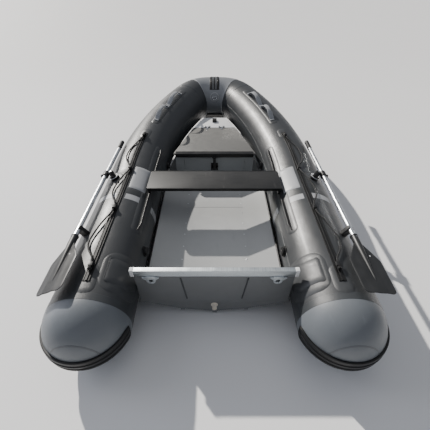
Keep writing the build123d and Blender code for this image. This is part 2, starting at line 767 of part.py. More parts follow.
def build_oarlocks():
    up, out, foot, hub, shaft = oar_frame()
    base_plane = Plane(origin=foot, x_dir=(0, 1, 0), z_dir=up)
    core = tube_core(skin_gap)
    base_top = tube_radius + oarlock_base_height
    base_low = tube_radius - oarlock_base_sink
    base = extrude(base_plane.offset(base_low) * Circle(oarlock_base_radius), amount=base_top - base_low)
    base -= core
    pin_low = base_top - swivel_pin_depth + 1
    pin_hole_radius = swivel_pin_radius + swivel_pin_clearance
    pin_hole = extrude(base_plane.offset(pin_low - 1) * Circle(pin_hole_radius), amount=2 * swivel_pin_depth)
    save("oarlock_bases", both([base - pin_hole]))

    head_low = base_top + skin_gap
    head_height = oar_height - oarlock_base_height + swivel_head_rise
    head = extrude(base_plane.offset(head_low) * Circle(swivel_radius), amount=head_height)
    pin = extrude(base_plane.offset(pin_low) * Circle(swivel_pin_radius), amount=head_low + 2 - pin_low)
    bolt_plane = Plane(origin=hub, x_dir=(0, 1, 0), z_dir=out)
    bolt_length = oar_offset - oar_radius - 2
    bolt = extrude(bolt_plane * Circle(swivel_bolt_radius), amount=bolt_length)
    swivel = head + pin + bolt

    axis_plane = Plane(origin=shaft, x_dir=out, z_dir=(0, 1, 0))
    collar = extrude(axis_plane * Circle(collar_radius), amount=collar_length / 2, both=True)
    collar_bore = axis_plane * Circle(oar_radius + collar_clearance)
    collar -= extrude(collar_bore, amount=collar_length, both=True)
    collar -= swivel
    knob_plane = Plane(origin=shaft, x_dir=(0, 1, 0), z_dir=out)
    screw_length = collar_radius - oar_radius + screw_reach
    screw = extrude(knob_plane.offset(oar_radius + 0.5) * Circle(screw_radius), amount=screw_length)
    collar -= screw
    knob_low = knob_plane.offset(collar_radius + skin_gap)
    knob = screw + extrude(knob_low * Circle(knob_radius), amount=knob_length)

    clip_plane = Plane(origin=(shaft.X, clip_y, shaft.Z), x_dir=out, z_dir=(0, 1, 0))
    lift = shaft - Vector(axis_x, shaft.Y, tube_axis_height)
    clip_frame = Plane(origin=(shaft.X, clip_y, shaft.Z), x_dir=(0, 1, 0), z_dir=lift)
    hold = oar_radius + clip_clearance
    outer = hold + clip_wall
    stand = lift.length - tube_radius
    clip_height = clip_rise + stand + clip_sink
    clip = clip_frame * Pos(0, 0, clip_rise - clip_height / 2) * Box(clip_width, 2 * outer, clip_height)
    clip -= extrude(clip_plane * Circle(hold), amount=clip_width, both=True)
    clip -= clip_frame * Pos(0, 0, oar_radius) * Box(2 * clip_width, 2 * (hold - clip_lip), 2 * oar_radius)
    clip -= core

    for name, flip in (("starboard", False), ("port", True)):
        shapes = {"oarlock_swivel_": swivel, "oar_collar_": collar, "collar_knob_": knob, "oar_clip_": clip}
        for prefix, shape in shapes.items():
            save(prefix + name, [mirrored(shape) if flip else shape])
    print("oarlock pin", foot, up, "oar axis", shaft)


def build_oar(name):
    up, out, foot, hub, shaft = oar_frame()
    roll = blade_roll[name]
    line = Plane(origin=(shaft.X, 0, shaft.Z), x_dir=(1, 0, 0), z_dir=(0, -1, 0))
    ring = Circle(oar_radius) - Circle(oar_radius - oar_wall)
    shaft_fore_y = oar_fore_y - plug_depth
    aft_length = oar_joint_y - ferrule_fore_y + ferrule_length - ferrule_wall
    fore = extrude(line.offset(-shaft_fore_y) * ring, amount=shaft_fore_y - oar_joint_y)
    aft = extrude(line.offset(-oar_joint_y) * ring, amount=aft_length)

    grip = extrude(line.offset(-oar_fore_y) * Circle(grip_radius), amount=grip_length)
    grip -= extrude(line.offset(-shaft_fore_y) * Circle(oar_radius), amount=grip_length)

    upright = (sin(radians(roll)), 0, cos(radians(roll)))
    blade_frame = Plane(origin=(shaft.X, ferrule_fore_y, shaft.Z), x_dir=(0, -1, 0), z_dir=upright)
    tip = ferrule_length + blade_length
    half = [
        (ferrule_length - 2 * ferrule_wall, blade_neck_half),
        (ferrule_length + blade_widest_share * blade_length, blade_half_width),
        (tip, blade_half_width - blade_tip_narrowing),
    ]
    outline = Polyline(half + [(x, -y) for x, y in reversed(half)], close=True)
    plate_face = make_face(outline.edges())
    plate_face = fillet(plate_face.vertices().sort_by(Axis.X)[-2:], radius=blade_corner_radius)
    plate = extrude(blade_frame * plate_face, amount=blade_thickness / 2, both=True)
    ferrule = extrude(line.offset(-ferrule_fore_y) * Circle(ferrule_radius), amount=ferrule_length)
    spine_line = line.offset(-ferrule_fore_y + ferrule_length)
    spine_end = spine_line.offset(blade_spine_share * blade_length) * Circle(blade_thickness / 2)
    spine = loft([spine_line * Circle(ferrule_radius), spine_end])
    blade = plate + ferrule + spine
    blade -= extrude(line.offset(-ferrule_fore_y) * Circle(oar_radius), amount=ferrule_length - ferrule_wall)

    button_y = ferrule_fore_y - button_set_back
    spoke = Plane(origin=(shaft.X, button_y, shaft.Z), x_dir=(0, 1, 0), z_dir=blade_frame.z_dir)
    hole_face = spoke.offset(ferrule_wall) * Circle(button_radius + button_clearance)
    hole = extrude(hole_face, amount=2 * ferrule_radius)
    button_length = ferrule_radius + button_proud - button_root
    button = extrude(spoke.offset(button_root) * Circle(button_radius), amount=button_length)
    pieces = {
        "oar_shaft_": [fore, aft - hole],
        "oar_grip_": [grip],
        "oar_blade_": [blade - hole],
        "snap_button_": [button],
    }
    for prefix, solids in pieces.items():
        save(prefix + name, [mirrored(solid) for solid in solids] if name == "port" else solids)
    print(name, "button axis", spoke.z_dir)


def build_lifelines():
    inner = tube_radius + skin_gap
    strip_top = inner + strip_thickness
    strip = band(rail_angle - strip_half_span, rail_angle + strip_half_span, inner, strip_top)
    strip += bar(rail_angle, strip_top - 1, strip_top + strip_rib_height, strip_rib)
    length = along_tube(strip, strip_aft_s, strip_fore_s)
    save("lifeline_rails", both([length]))

    leads = []
    low = strip_top + strip_rib_height + fairlead_gap
    block = Rot(0, 0, rail_angle) * Rectangle(fairlead_height, fairlead_width)
    face = Pos(*polar(rail_angle, low + fairlead_height / 2)) * block
    face -= Pos(*polar(rail_angle, low + fairlead_hole_height)) * Circle(rope_radius + rope_clearance)
    for s in fairlead_stations:
        leads.append(extrude(section(s) * face, amount=fairlead_length / 2, both=True))
        print("fairlead hole", s, spot(s, rail_angle, low + fairlead_hole_height), axis_frame(s)[1])
    save("fairleads", both(leads))

    points = [Vector(*point) for point in rope_points]
    radii = []
    for before, here, after in zip(points, points[1:], points[2:]):
        first = here - before
        second = after - here
        half_turn = radians(first.get_angle(second) / 2)
        radii.append(0.45 * min(first.length, second.length) / tan(half_turn))
    print("lifeline bend radii", [round(radius) for radius in radii])
    path = FilletPolyline(points, radius=radii)
    rope = sweep(Plane(origin=path @ 0, z_dir=path % 0) * Circle(rope_radius), path=path)
    print("lifeline length", path.length, "volume", rope.volume, pi * rope_radius**2 * path.length)
    save("lifeline_starboard", [rope])
    save("lifeline_port", [mirrored(rope)])
    knots = []
    for end in (0, 1):
        frame = Plane(origin=path @ end, z_dir=path % end)
        knots.append(frame * (Sphere(knot_radius) - Cylinder(rope_radius, 3 * knot_radius)))
    save("lifeline_knots", both(knots))


def build_handles():
    inner = tube_radius + skin_gap
    half_span = degrees(handle_patch_width / 2 / tube_radius)
    face = band(handle_angle - half_span, handle_angle + half_span, inner, inner + patch_thickness)
    patch = along_tube(face, *handle_patch_span)
    save("handle_patches", both([patch]))
    seat = inner + patch_thickness + skin_gap
    loops = []
    for s_from, s_to in handle_spans:
        low = seat + 1.5 * handle_thickness
        start = spot(s_from, handle_angle, low)
        end = spot(s_to, handle_angle, low)
        crown = spot((s_from + s_to) / 2, handle_angle, low + handle_rise)
        arch = ThreePointArc(start, crown, end)
        across = spot(s_from, handle_angle + 90, 1) - spot(s_from, handle_angle + 90, 0)
        strap = Plane(origin=start, x_dir=across, z_dir=arch % 0) * Rectangle(handle_width, handle_thickness)
        loop = sweep(strap, path=Wire([arch.edge()]))
        span = degrees(handle_width / 2 / tube_radius)
        foot_top = seat + handle_foot_layers * handle_thickness
        foot = band(handle_angle - span, handle_angle + span, seat, foot_top)
        for s_foot in (s_from, s_to):
            loop += along_tube(foot, s_foot - handle_foot / 2, s_foot + handle_foot / 2)
        loops.append(loop)
    save("handle_loops", both(loops))


def build():
    os.makedirs("parts", exist_ok=True)
    build_tubes()
    build_bow_pieces()
    build_rub_strake()
    build_hull()
    build_transom()
    build_thwart()
    build_locker()
    build_valves()
    build_oarlocks()
    build_oar("starboard")
    build_oar("port")
    build_lifelines()
    build_handles()


build()
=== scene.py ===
"""Looks of the inflatable dinghy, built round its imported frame.

Metres. +Y points to the bow, +X to starboard, +Z up.
"""
import json
from math import atan2, copysign, cos, degrees, exp, hypot, pi, radians, sin, tan

import bmesh
import bpy
from mathutils import Matrix, Vector


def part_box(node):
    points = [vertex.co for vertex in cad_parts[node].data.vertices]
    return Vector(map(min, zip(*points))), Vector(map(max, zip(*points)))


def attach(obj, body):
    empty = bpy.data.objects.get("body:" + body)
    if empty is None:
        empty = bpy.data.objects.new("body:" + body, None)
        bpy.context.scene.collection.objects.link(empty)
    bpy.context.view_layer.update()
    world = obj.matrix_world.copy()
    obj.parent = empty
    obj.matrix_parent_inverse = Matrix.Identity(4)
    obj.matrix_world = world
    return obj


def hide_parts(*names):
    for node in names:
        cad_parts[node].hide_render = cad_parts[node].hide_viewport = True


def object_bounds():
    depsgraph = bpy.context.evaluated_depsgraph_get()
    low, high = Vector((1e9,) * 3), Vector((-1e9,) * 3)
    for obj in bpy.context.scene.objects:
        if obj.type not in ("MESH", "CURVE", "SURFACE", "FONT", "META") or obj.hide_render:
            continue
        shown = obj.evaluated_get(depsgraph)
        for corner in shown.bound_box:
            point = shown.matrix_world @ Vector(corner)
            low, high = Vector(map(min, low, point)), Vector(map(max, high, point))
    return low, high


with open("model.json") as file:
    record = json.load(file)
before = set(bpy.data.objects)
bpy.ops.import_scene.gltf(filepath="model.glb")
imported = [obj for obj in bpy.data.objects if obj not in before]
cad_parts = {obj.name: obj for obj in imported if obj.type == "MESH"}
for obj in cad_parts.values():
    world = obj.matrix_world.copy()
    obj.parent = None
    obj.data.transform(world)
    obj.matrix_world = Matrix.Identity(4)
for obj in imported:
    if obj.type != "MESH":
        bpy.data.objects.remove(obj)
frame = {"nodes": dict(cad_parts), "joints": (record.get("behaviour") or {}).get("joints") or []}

cad_low, cad_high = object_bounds()
scene = bpy.context.scene
sides = (("starboard", 1), ("port", -1))


# Camera, floor and light

def add_camera():
    """Stands astern of the boat, a little above head height, and looks down at it."""
    data = bpy.data.cameras.new("camera")
    data.lens = 24.09
    data.sensor_width = 36.0
    data.shift_x = 0.0012
    camera = bpy.data.objects.new("camera", data)
    camera.location = (0.0, -2.073, 1.582)
    camera.rotation_euler = (radians(48.37), 0.0, 0.0)
    scene.collection.objects.link(camera)
    scene.camera = camera


def add_lamp(name, kind, place, aim, energy, size, colour):
    data = bpy.data.lights.new(name, kind)
    data.energy = energy
    data.color = colour
    if kind == "SUN":
        data.angle = size
    else:
        data.shape = "RECTANGLE"
        data.size, data.size_y = size
    lamp = bpy.data.objects.new(name, data)
    lamp.location = place
    lamp.rotation_euler = (Vector(aim) - Vector(place)).to_track_quat("-Z", "Y").to_euler()
    scene.collection.objects.link(lamp)


def add_light():
    key_from = Vector((-0.55, 0.66, 0.51)) * 5
    add_lamp("key_lamp", "SUN", key_from, (0, 0, 0), 6.0, radians(1.0), (1.0, 0.96, 0.9))
    add_lamp("port_fill", "AREA", (-4.5, -0.6, 2.2), (0, 0, 0.2), 64, (1.6, 5.0), (0.86, 0.89, 1.0))
    add_lamp("top_fill", "AREA", (0.6, 0.2, 4.5), (0, 0, 0.2), 14, (3.0, 4.0), (1.0, 0.98, 0.95))
    world = bpy.data.worlds.new("studio")
    world.use_nodes = True
    background = world.node_tree.nodes["Background"]
    background.inputs["Color"].default_value = (0.86, 0.9, 1.0, 1.0)
    background.inputs["Strength"].default_value = 0.34
    scene.world = world


def add_floor(finish):
    reach = 60.0
    mesh = bpy.data.meshes.new("floor")
    corners = [(-reach, -reach, 0), (reach, -reach, 0), (reach, reach, 0), (-reach, reach, 0)]
    mesh.from_pydata(corners, [], [(0, 1, 2, 3)])
    mesh.materials.append(finish)
    floor = bpy.data.objects.new("floor", mesh)
    floor.location.z = cad_low.z - 0.0005
    scene.collection.objects.link(floor)


# Shared surface effects. Each is a node group that gives masks, values or heights.

def feed(tree, socket, value):
    """Links a socket to the one that feeds it, or gives it a plain value."""
    if isinstance(value, bpy.types.NodeSocket):
        tree.links.new(value, socket)
    else:
        socket.default_value = value


def add_node(tree, kind, settings=None, **values):
    """A node with its settings, its input values and the sockets that feed it."""
    node = tree.nodes.new("ShaderNode" + kind)
    for label, value in (settings or {}).items():
        setattr(node, label, value)
    for label, value in values.items():
        feed(tree, node.inputs[label], value)
    return node


def maths(tree, operation, first, second):
    node = add_node(tree, "Math", {"operation": operation})
    feed(tree, node.inputs[0], first)
    feed(tree, node.inputs[1], second)
    return node.outputs[0]


def spread(tree, value, low, high, to_low=0.0, to_high=1.0, kind="SMOOTHSTEP"):
    """The value remapped from one range to another, with both ends held."""
    limits = {"Value": value, "From Min": low, "From Max": high, "To Min": to_low, "To Max": to_high}
    return add_node(tree, "MapRange", {"interpolation_type": kind}, **limits).outputs["Result"]


def noise(tree, vector, scale, detail, stretch=None, roughness=0.5):
    """Cloudy noise, drawn out along an axis if wanted."""
    if stretch:
        vector = add_node(tree, "Mapping", Vector=vector, Scale=stretch).outputs[0]
    values = {"Vector": vector, "Scale": scale, "Detail": detail, "Roughness": roughness}
    return add_node(tree, "TexNoise", **values).outputs[0]


def start_effect(name, outputs, **inputs):
    """An empty node group: its tree, the sockets it is given and those it is to fill."""
    tree = bpy.data.node_groups.new(name, "ShaderNodeTree")
    tree.interface.new_socket("Vector", in_out="INPUT", socket_type="NodeSocketVector")
    for label, value in inputs.items():
        tree.interface.new_socket(label, in_out="INPUT", socket_type="NodeSocketFloat").default_value = value
    for label in outputs:
        tree.interface.new_socket(label, in_out="OUTPUT", socket_type="NodeSocketFloat")
    return tree, tree.nodes.new("NodeGroupInput").outputs, tree.nodes.new("NodeGroupOutput").inputs


def end_effect(tree, result, **values):
    for label, value in values.items():
        tree.links.new(value, result[label])
    return tree


def weave_effect():
    """Warp and weft threads, for places given in metres."""
    tree, given, result = start_effect("woven_threads", ["Height", "Shade"], Threads=600.0)
    waves = []
    for direction in ("X", "Y"):
        places = {"Vector": given["Vector"], "Scale": given["Threads"]}
        scaled = add_node(tree, "VectorMath", {"operation": "SCALE"}, **places)
        settings = {"wave_type": "BANDS", "bands_direction": direction}
        wave = add_node(tree, "TexWave", settings, Vector=scaled.outputs[0], Scale=0.314, Distortion=0.15)
        waves.append(wave.outputs["Fac"])
    height, shade = (maths(tree, operation, *waves) for operation in ("MAXIMUM", "MULTIPLY"))
    return end_effect(tree, result, Height=height, Shade=shade)


def mottle_effect():
    """Soft uneven shade, with a finer grain laid over it."""
    tree, given, result = start_effect("soft_mottle", ["Shade", "Height"], Scale=8.0, Contrast=0.5)
    fine_scale = maths(tree, "MULTIPLY", given["Scale"], 9.0)
    layers = []
    for scale, detail, share in ((given["Scale"], 4.0, 0.75), (fine_scale, 3.0, 0.25)):
        layers.append(maths(tree, "MULTIPLY", noise(tree, given["Vector"], scale, detail), share))
    height = maths(tree, "ADD", *layers)
    gain = maths(tree, "MULTIPLY", given["Contrast"], 3.0)
    raised = maths(tree, "MULTIPLY", maths(tree, "SUBTRACT", height, 0.5), gain)
    return end_effect(tree, result, Shade=maths(tree, "ADD", raised, 0.5), Height=height)


def scuff_effect():
    """Fine stretched rub marks that gather in patches."""
    tree, given, result = start_effect("rub_marks", ["Mask"], Scale=40.0, Amount=0.5)
    lines = noise(tree, given["Vector"], given["Scale"], 8.0, (1.0, 0.16, 1.0), 0.7)
    where = noise(tree, given["Vector"], maths(tree, "MULTIPLY", given["Scale"], 0.12), 2.0)
    marks = maths(tree, "MULTIPLY", spread(tree, lines, 0.56, 0.68), spread(tree, where, 0.45, 0.65))
    return end_effect(tree, result, Mask=maths(tree, "MULTIPLY", marks, given["Amount"]))


def grain_effect():
    """Moulded pebble grain."""
    tree, given, result = start_effect("moulded_grain", ["Height"], Scale=900.0)
    places = {"Vector": given["Vector"], "Scale": given["Scale"]}
    cells = add_node(tree, "TexVoronoi", {"feature": "SMOOTH_F1"}, **places)
    return end_effect(tree, result, Height=cells.outputs["Distance"])


def brushed_effect():
    """Straight drawn lines along Y."""
    tree, given, result = start_effect("drawn_lines", ["Height", "Shade"], Scale=300.0)
    lines = noise(tree, given["Vector"], given["Scale"], 3.0, (1.0, 0.02, 1.0))
    return end_effect(tree, result, Height=lines, Shade=spread(tree, lines, 0.3, 0.7))


def edge_effect():
    """Where a piece has outer edges, for polish and rub there."""
    tree, given, result = start_effect("edge_rub", ["Mask"], Reach=0.56)
    pointed = add_node(tree, "NewGeometry").outputs["Pointiness"]
    return end_effect(tree, result, Mask=spread(tree, pointed, 0.51, given["Reach"], kind="LINEAR"))


effects = {
    "weave": weave_effect(),
    "mottle": mottle_effect(),
    "scuff": scuff_effect(),
    "grain": grain_effect(),
    "brushed": brushed_effect(),
    "edges": edge_effect(),
}


def tone(red, green, blue):
    """Linear colour from the usual 0 to 255 values."""
    linear = []
    for value in (red, green, blue):
        share = value / 255
        linear.append(share / 12.92 if share <= 0.04045 else ((share + 0.055) / 1.055) ** 2.4)
    return (*linear, 1.0)


def tinted(colour, gain, lift=0.0):
    """The colour made paler or darker."""
    return tuple(min(1.0, gain * c + lift) for c in colour[:3]) + (1.0,)


class Finish:
    """A material, with short calls that lay effects over its shader."""

    def __init__(self, name, roughness, metallic=0.0, specular=0.5, coat=0.0, coat_roughness=0.2, sheen=0.0):
        self.material = bpy.data.materials.new(name)
        self.material.use_nodes = True
        self.tree = self.material.node_tree
        self.shader = self.tree.nodes["Principled BSDF"].inputs
        values = {"Roughness": roughness, "Metallic": metallic, "Specular IOR Level": specular,
                  "Coat Weight": coat, "Coat Roughness": coat_roughness,
                  "Sheen Weight": sheen, "Sheen Roughness": 0.4}
        for label, value in values.items():
            self.shader[label].default_value = value
        place = self.tree.nodes.new("ShaderNodeTexCoord")
        self.places = {"solid": place.outputs["Object"], "laid": place.outputs["UV"]}
        self.height = None

    def effect(self, name, place="solid", **values):
        node = self.tree.nodes.new("ShaderNodeGroup")
        node.node_tree = effects[name]
        self.tree.links.new(self.places[place], node.inputs["Vector"])
        for label, value in values.items():
            node.inputs[label].default_value = value
        return node.outputs

    def colour(self, low, high, share):
        """Paints with a mix of two colours, by a share that varies over the surface."""
        mix = add_node(self.tree, "Mix", {"data_type": "RGBA"}, Factor=share)
        ends = [socket for socket in mix.inputs if socket.type == "RGBA"]
        feed(self.tree, ends[0], low)
        feed(self.tree, ends[1], high)
        self.paint = next(socket for socket in mix.outputs if socket.type == "RGBA")
        self.tree.links.new(self.paint, self.shader["Base Color"])

    def over(self, colour, mask):
        """Lays another colour over the paint where the mask is."""
        self.colour(self.paint, colour, mask)

    def mottle(self, scale, contrast):
        return self.effect("mottle", Scale=scale, Contrast=contrast)["Shade"]

    def scuff(self, colour, scale, amount):
        self.over(colour, self.effect("scuff", Scale=scale, Amount=amount)["Mask"])

    def roughness(self, low, high, share):
        self.tree.links.new(spread(self.tree, share, 0.0, 1.0, low, high), self.shader["Roughness"])

    def bump(self, height, distance, strength):
        node = add_node(self.tree, "Bump", Height=height, Distance=distance, Strength=strength)
        if self.height is not None:
            self.tree.links.new(self.height, node.inputs["Normal"])
        self.height = node.outputs["Normal"]
        self.tree.links.new(self.height, self.shader["Normal"])

    def grain(self, scale, distance, strength):
        self.bump(self.effect("grain", Scale=scale)["Height"], distance, strength)


def coated_fabric(name, low, high, roughness=(0.36, 0.48)):
    """Calendered boat fabric: a smooth coat through which the weave just shows."""
    finish = Finish(name, roughness[0], specular=0.55, coat=0.05, coat_roughness=0.22)
    clouds = finish.effect("mottle", Scale=3.5, Contrast=0.35)
    finish.colour(low, high, clouds["Shade"])
    finish.scuff(tinted(high, 1.5, 0.02), 22.0, 0.16)
    finish.roughness(*roughness, finish.mottle(9.0, 0.8))
    finish.bump(clouds["Height"], 0.0025, 0.25)
    finish.bump(finish.effect("weave", "laid", Threads=900.0)["Height"], 0.00015, 0.5)
    return finish.material


def moulded(name, low, high, roughness, worn, specular, mottle, scuff, grain):
    """Moulded rubber or plastic: uneven, paler where it is rubbed, with a fine grain."""
    finish = Finish(name, roughness[0], specular=specular)
    shade = finish.mottle(*mottle)
    finish.colour(low, high, shade)
    finish.scuff(worn, *scuff)
    finish.roughness(*roughness, shade)
    finish.grain(*grain)
    return finish.material


def moulded_rubber(name, low, high, roughness):
    worn = tone(46, 46, 48)
    return moulded(name, low, high, roughness, worn, 0.45, (14.0, 0.8), (30.0, 0.3), (1100.0, 0.0002, 0.5))


def moulded_plastic(name, low, high, roughness=(0.35, 0.5), worn=tone(90, 92, 94)):
    return moulded(name, low, high, roughness, worn, 0.5, (18.0, 0.7), (50.0, 0.3), (1500.0, 0.00012, 0.4))


def painted_plate(name, low, high):
    """Powder coat with orange peel, light dust and a few rub marks."""
    finish = Finish(name, 0.38)
    finish.colour(low, high, finish.mottle(2.6, 0.5))
    finish.scuff(tinted(low, 0.55), 26.0, 0.22)
    finish.over(tinted(high, 1.35), finish.effect("edges", Reach=0.62)["Mask"])
    finish.roughness(0.38, 0.52, finish.mottle(20.0, 1.0))
    finish.grain(420.0, 0.0003, 0.35)
    return finish.material


def metal(name, low, high, roughness, scale):
    finish = Finish(name, roughness[0], metallic=1.0)
    lines = finish.effect("brushed", Scale=scale)
    finish.colour(low, high, lines["Shade"])
    finish.scuff(tinted(low, 0.6), 60.0, 0.3)
    finish.roughness(*roughness, finish.mottle(30.0, 1.0))
    finish.bump(lines["Height"], 0.0001, 0.4)
    return finish.material


def woven(name, low, high, threads):
    """Bare webbing, with its threads raised."""
    finish = Finish(name, 0.72, specular=0.3, sheen=0.25)
    cloth = finish.effect("weave", "laid", Threads=threads)
    finish.colour(low, high, cloth["Shade"])
    finish.scuff(tinted(low, 0.5), 45.0, 0.3)
    finish.roughness(0.6, 0.85, finish.mottle(30.0, 0.8))
    finish.bump(cloth["Height"], 0.0006, 0.8)
    return finish.material


def coated_board(name):
    """Dark stained board under a satin coat: long drawn grain and cloudy wear."""
    finish = Finish(name, 0.45, specular=0.4, coat=0.1, coat_roughness=0.35)
    grain = noise(finish.tree, finish.places["solid"], 70.0, 6.0, (0.12, 1.0, 1.0))
    clouds = finish.mottle(5.0, 0.5)
    finish.colour(tone(26, 27, 28), tone(40, 40, 40), clouds)
    finish.over(tone(18, 18, 19), spread(finish.tree, grain, 0.5, 0.75, 0.0, 0.6))
    finish.scuff(tone(84, 83, 81), 35.0, 0.25)
    finish.roughness(0.42, 0.56, clouds)
    finish.bump(grain, 0.0004, 0.4)
    return finish.material


def flecked_rope(name):
    """Dark braid with a few pale yarns in it."""
    finish = Finish(name, 0.62, specular=0.35, sheen=0.2)
    cloth = finish.effect("weave", "laid", Threads=420.0)
    finish.colour(tone(7, 7, 8), tone(22, 22, 24), cloth["Shade"])
    flecks = noise(finish.tree, finish.places["laid"], 260.0, 2.0)
    finish.over(tone(170, 170, 172), spread(finish.tree, flecks, 0.66, 0.71, 0.0, 0.6))
    finish.roughness(0.55, 0.75, cloth["Shade"])
    finish.bump(cloth["Height"], 0.0005, 0.8)
    return finish.material


def plain_floor(name):
    finish = Finish(name, 0.75, specular=0.3)
    finish.colour(tone(238, 238, 238), tone(246, 246, 246), finish.mottle(0.6, 0.15))
    finish.grain(180.0, 0.0002, 0.15)
    return finish.material


taped, panelled = (0.34, 0.46), (0.36, 0.5)
finishes = {
    "tube": coated_fabric("tube_charcoal", tone(50, 52, 54), tone(60, 62, 64)),
    "seam": coated_fabric("seam_tape", tone(50, 53, 55), tone(60, 63, 66), taped),
    "cone": coated_fabric("cone_blue_grey", tone(98, 103, 108), tone(112, 117, 122)),
    "bow": coated_fabric("bow_grey", tone(116, 119, 123), tone(130, 133, 137)),
    "pale_seam": coated_fabric("pale_seam_tape", tone(146, 150, 154), tone(164, 167, 171), taped),
    "pale_panel": coated_fabric("pale_panel", tone(150, 152, 155), tone(168, 170, 172), panelled),
    "dark_panel": coated_fabric("dark_panel", tone(36, 39, 41), tone(46, 49, 51), panelled),
    "patch": coated_fabric("patch_grey", tone(52, 55, 58), tone(62, 65, 68), panelled),
    "rubber": moulded_rubber("black_rubber", tone(6, 6, 7), tone(14, 14, 15), (0.34, 0.5)),
    # The hull plate is a darker copy of the deck's paint: painted shade for the transom face and hull sides,
    # which the key light leaves in shadow.
    "plate": painted_plate("hull_plate_painted_shade", tone(98, 100, 101), tone(110, 112, 113)),
    "deck": painted_plate("deck_plate_grey", tone(164, 166, 166), tone(178, 179, 178)),
    # The locker is a darker copy of the deck's paint: painted shade for its front, which faces away from the
    # key light.
    "locker": painted_plate("locker_grey_painted_shade", tone(138, 142, 143), tone(152, 155, 156)),
    # The lid is a much darker copy of the deck's paint: painted shade for the bow tube's shadow that falls on
    # it.
    "lid": painted_plate("lid_grey_painted_shade", tone(98, 98, 96), tone(108, 107, 104)),
    "foredeck": painted_plate("foredeck_white", tone(196, 198, 198), tone(210, 211, 211)),
    "aluminium": metal("drawn_aluminium", tone(214, 218, 221), tone(238, 240, 242), (0.24, 0.4), 500.0),
    "rail": metal("satin_rail", tone(196, 203, 206), tone(220, 225, 227), (0.4, 0.55), 300.0),
    "steel": metal("polished_steel", tone(196, 198, 200), tone(232, 233, 235), (0.12, 0.28), 700.0),
    "plastic": moulded_plastic("black_plastic", tone(14, 14, 15), tone(26, 26, 27)),
    "blade": moulded_plastic("blade_charcoal", tone(30, 31, 32), tone(40, 41, 42), (0.36, 0.5),
                             tone(66, 68, 70)),
    "grip": moulded_plastic("grip_rubber", tone(20, 20, 21), tone(38, 38, 40), (0.45, 0.62),
                            tone(110, 112, 115)),
    "spout": moulded_plastic("cream_plastic", tone(232, 222, 206), tone(246, 238, 224), (0.3, 0.42),
                             tone(150, 138, 120)),
    "webbing": woven("pale_webbing", tone(126, 129, 133), tone(172, 175, 179), 380.0),
    "board": coated_board("stained_board"),
    "rope": flecked_rope("flecked_braid"),
    "cone_seam": coated_fabric("cone_seam_tape", tone(84, 88, 92), tone(96, 100, 104), taped),
    "floor": plain_floor("studio_floor"),
}


# Making pieces

def make_piece(name, bm, finish, body="root", stands_for=(), crease=42.0):
    """A finished object from mesh work. It rides on its body and stands for the nodes given."""
    bmesh.ops.recalc_face_normals(bm, faces=bm.faces)
    mesh = bpy.data.meshes.new(name)
    bm.to_mesh(mesh)
    bm.free()
    mesh.shade_smooth()
    mesh.set_sharp_from_angle(angle=radians(crease))
    mesh.materials.append(finishes[finish])
    piece = bpy.data.objects.new(name, mesh)
    scene.collection.objects.link(piece)
    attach(piece, body)
    if stands_for:
        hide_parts(*stands_for)
    return piece


def loft_rings(rings, uvs=None, closed=False):
    """Closed skin through rings of points. Its ends are capped, or joined to each other."""
    bm = bmesh.new()
    lay = bm.loops.layers.uv.new("lay")
    made = [[bm.verts.new(point) for point in ring] for ring in rings]
    if closed:
        made.append(made[0])
    count = len(rings[0])
    for i in range(len(made) - 1):
        for j in range(count):
            k = (j + 1) % count
            face = bm.faces.new((made[i][j], made[i][k], made[i + 1][k], made[i + 1][j]))
            if uvs:
                corners = ((i, j), (i, j + 1), (i + 1, j + 1), (i + 1, j))
                for loop, (row, column) in zip(face.loops, corners):
                    along, round_length = uvs[row % len(uvs)]
                    loop[lay].uv = (along, round_length * column / count)
    if not closed:
        bm.faces.new(made[0])
        bm.faces.new(made[-1])
    return bm


def turned(profile, origin, axis, segments, lobes=0, lobe_depth=0.0, closed=False):
    """Piece turned about an axis, from (distance along, radius) points, with optional finger lobes."""
    turn = Vector((0, 0, 1)).rotation_difference(Vector(axis).normalized())
    rings, uvs = [], []
    reach = 0.0
    for index, (along, radius) in enumerate(profile):
        ring = []
        for step in range(segments):
            angle = 2 * pi * step / segments
            out = radius * (1 - lobe_depth * (0.5 - 0.5 * cos(lobes * angle)))
            ring.append(Vector(origin) + turn @ Vector((out * cos(angle), out * sin(angle), along)))
        rings.append(ring)
        if index:
            reach += hypot(along - profile[index - 1][0], radius - profile[index - 1][1])
        uvs.append((reach, 2 * pi * radius))
    return loft_rings(rings, uvs, closed)


def rounded_outline(corners, radius, steps=5):
    """Closed outline, counterclockwise, with each corner rounded."""
    points = []
    radii = radius if isinstance(radius, (list, tuple)) else [radius] * len(corners)
    for index, here in enumerate(corners):
        here = Vector(here)
        back = Vector(corners[index - 1]) - here
        ahead = Vector(corners[(index + 1) % len(corners)]) - here
        half = back.angle(ahead) / 2
        reach = min(radii[index] / tan(half), 0.48 * back.length, 0.48 * ahead.length)
        if reach < 1e-6:
            points.append(here)
            continue
        arc = reach * tan(half)
        centre = here + (back.normalized() + ahead.normalized()).normalized() * (arc / sin(half))
        first = here + back.normalized() * reach - centre
        last = here + ahead.normalized() * reach - centre
        start = atan2(first.y, first.x)
        turn = (atan2(last.y, last.x) - start + pi) % (2 * pi) - pi
        for step in range(steps + 1):
            angle = start + turn * step / steps
            points.append(centre + Vector((cos(angle), sin(angle))) * arc)
    return points


def cut_grid(bm, cell_x, cell_y):
    """Cuts a flat mesh at even steps, so that it can bend."""
    for axis, cell in ((0, cell_x), (1, cell_y)):
        if not cell:
            continue
        spots = [vert.co[axis] for vert in bm.verts]
        low, high = min(spots), max(spots)
        normal = Vector((1, 0, 0)) if axis == 0 else Vector((0, 1, 0))
        steps = max(1, int((high - low) / cell))
        for step in range(1, steps):
            place = normal * (low + (high - low) * step / steps)
            geometry = bm.verts[:] + bm.edges[:] + bm.faces[:]
            bmesh.ops.bisect_plane(bm, geom=geometry, plane_co=place, plane_no=normal)


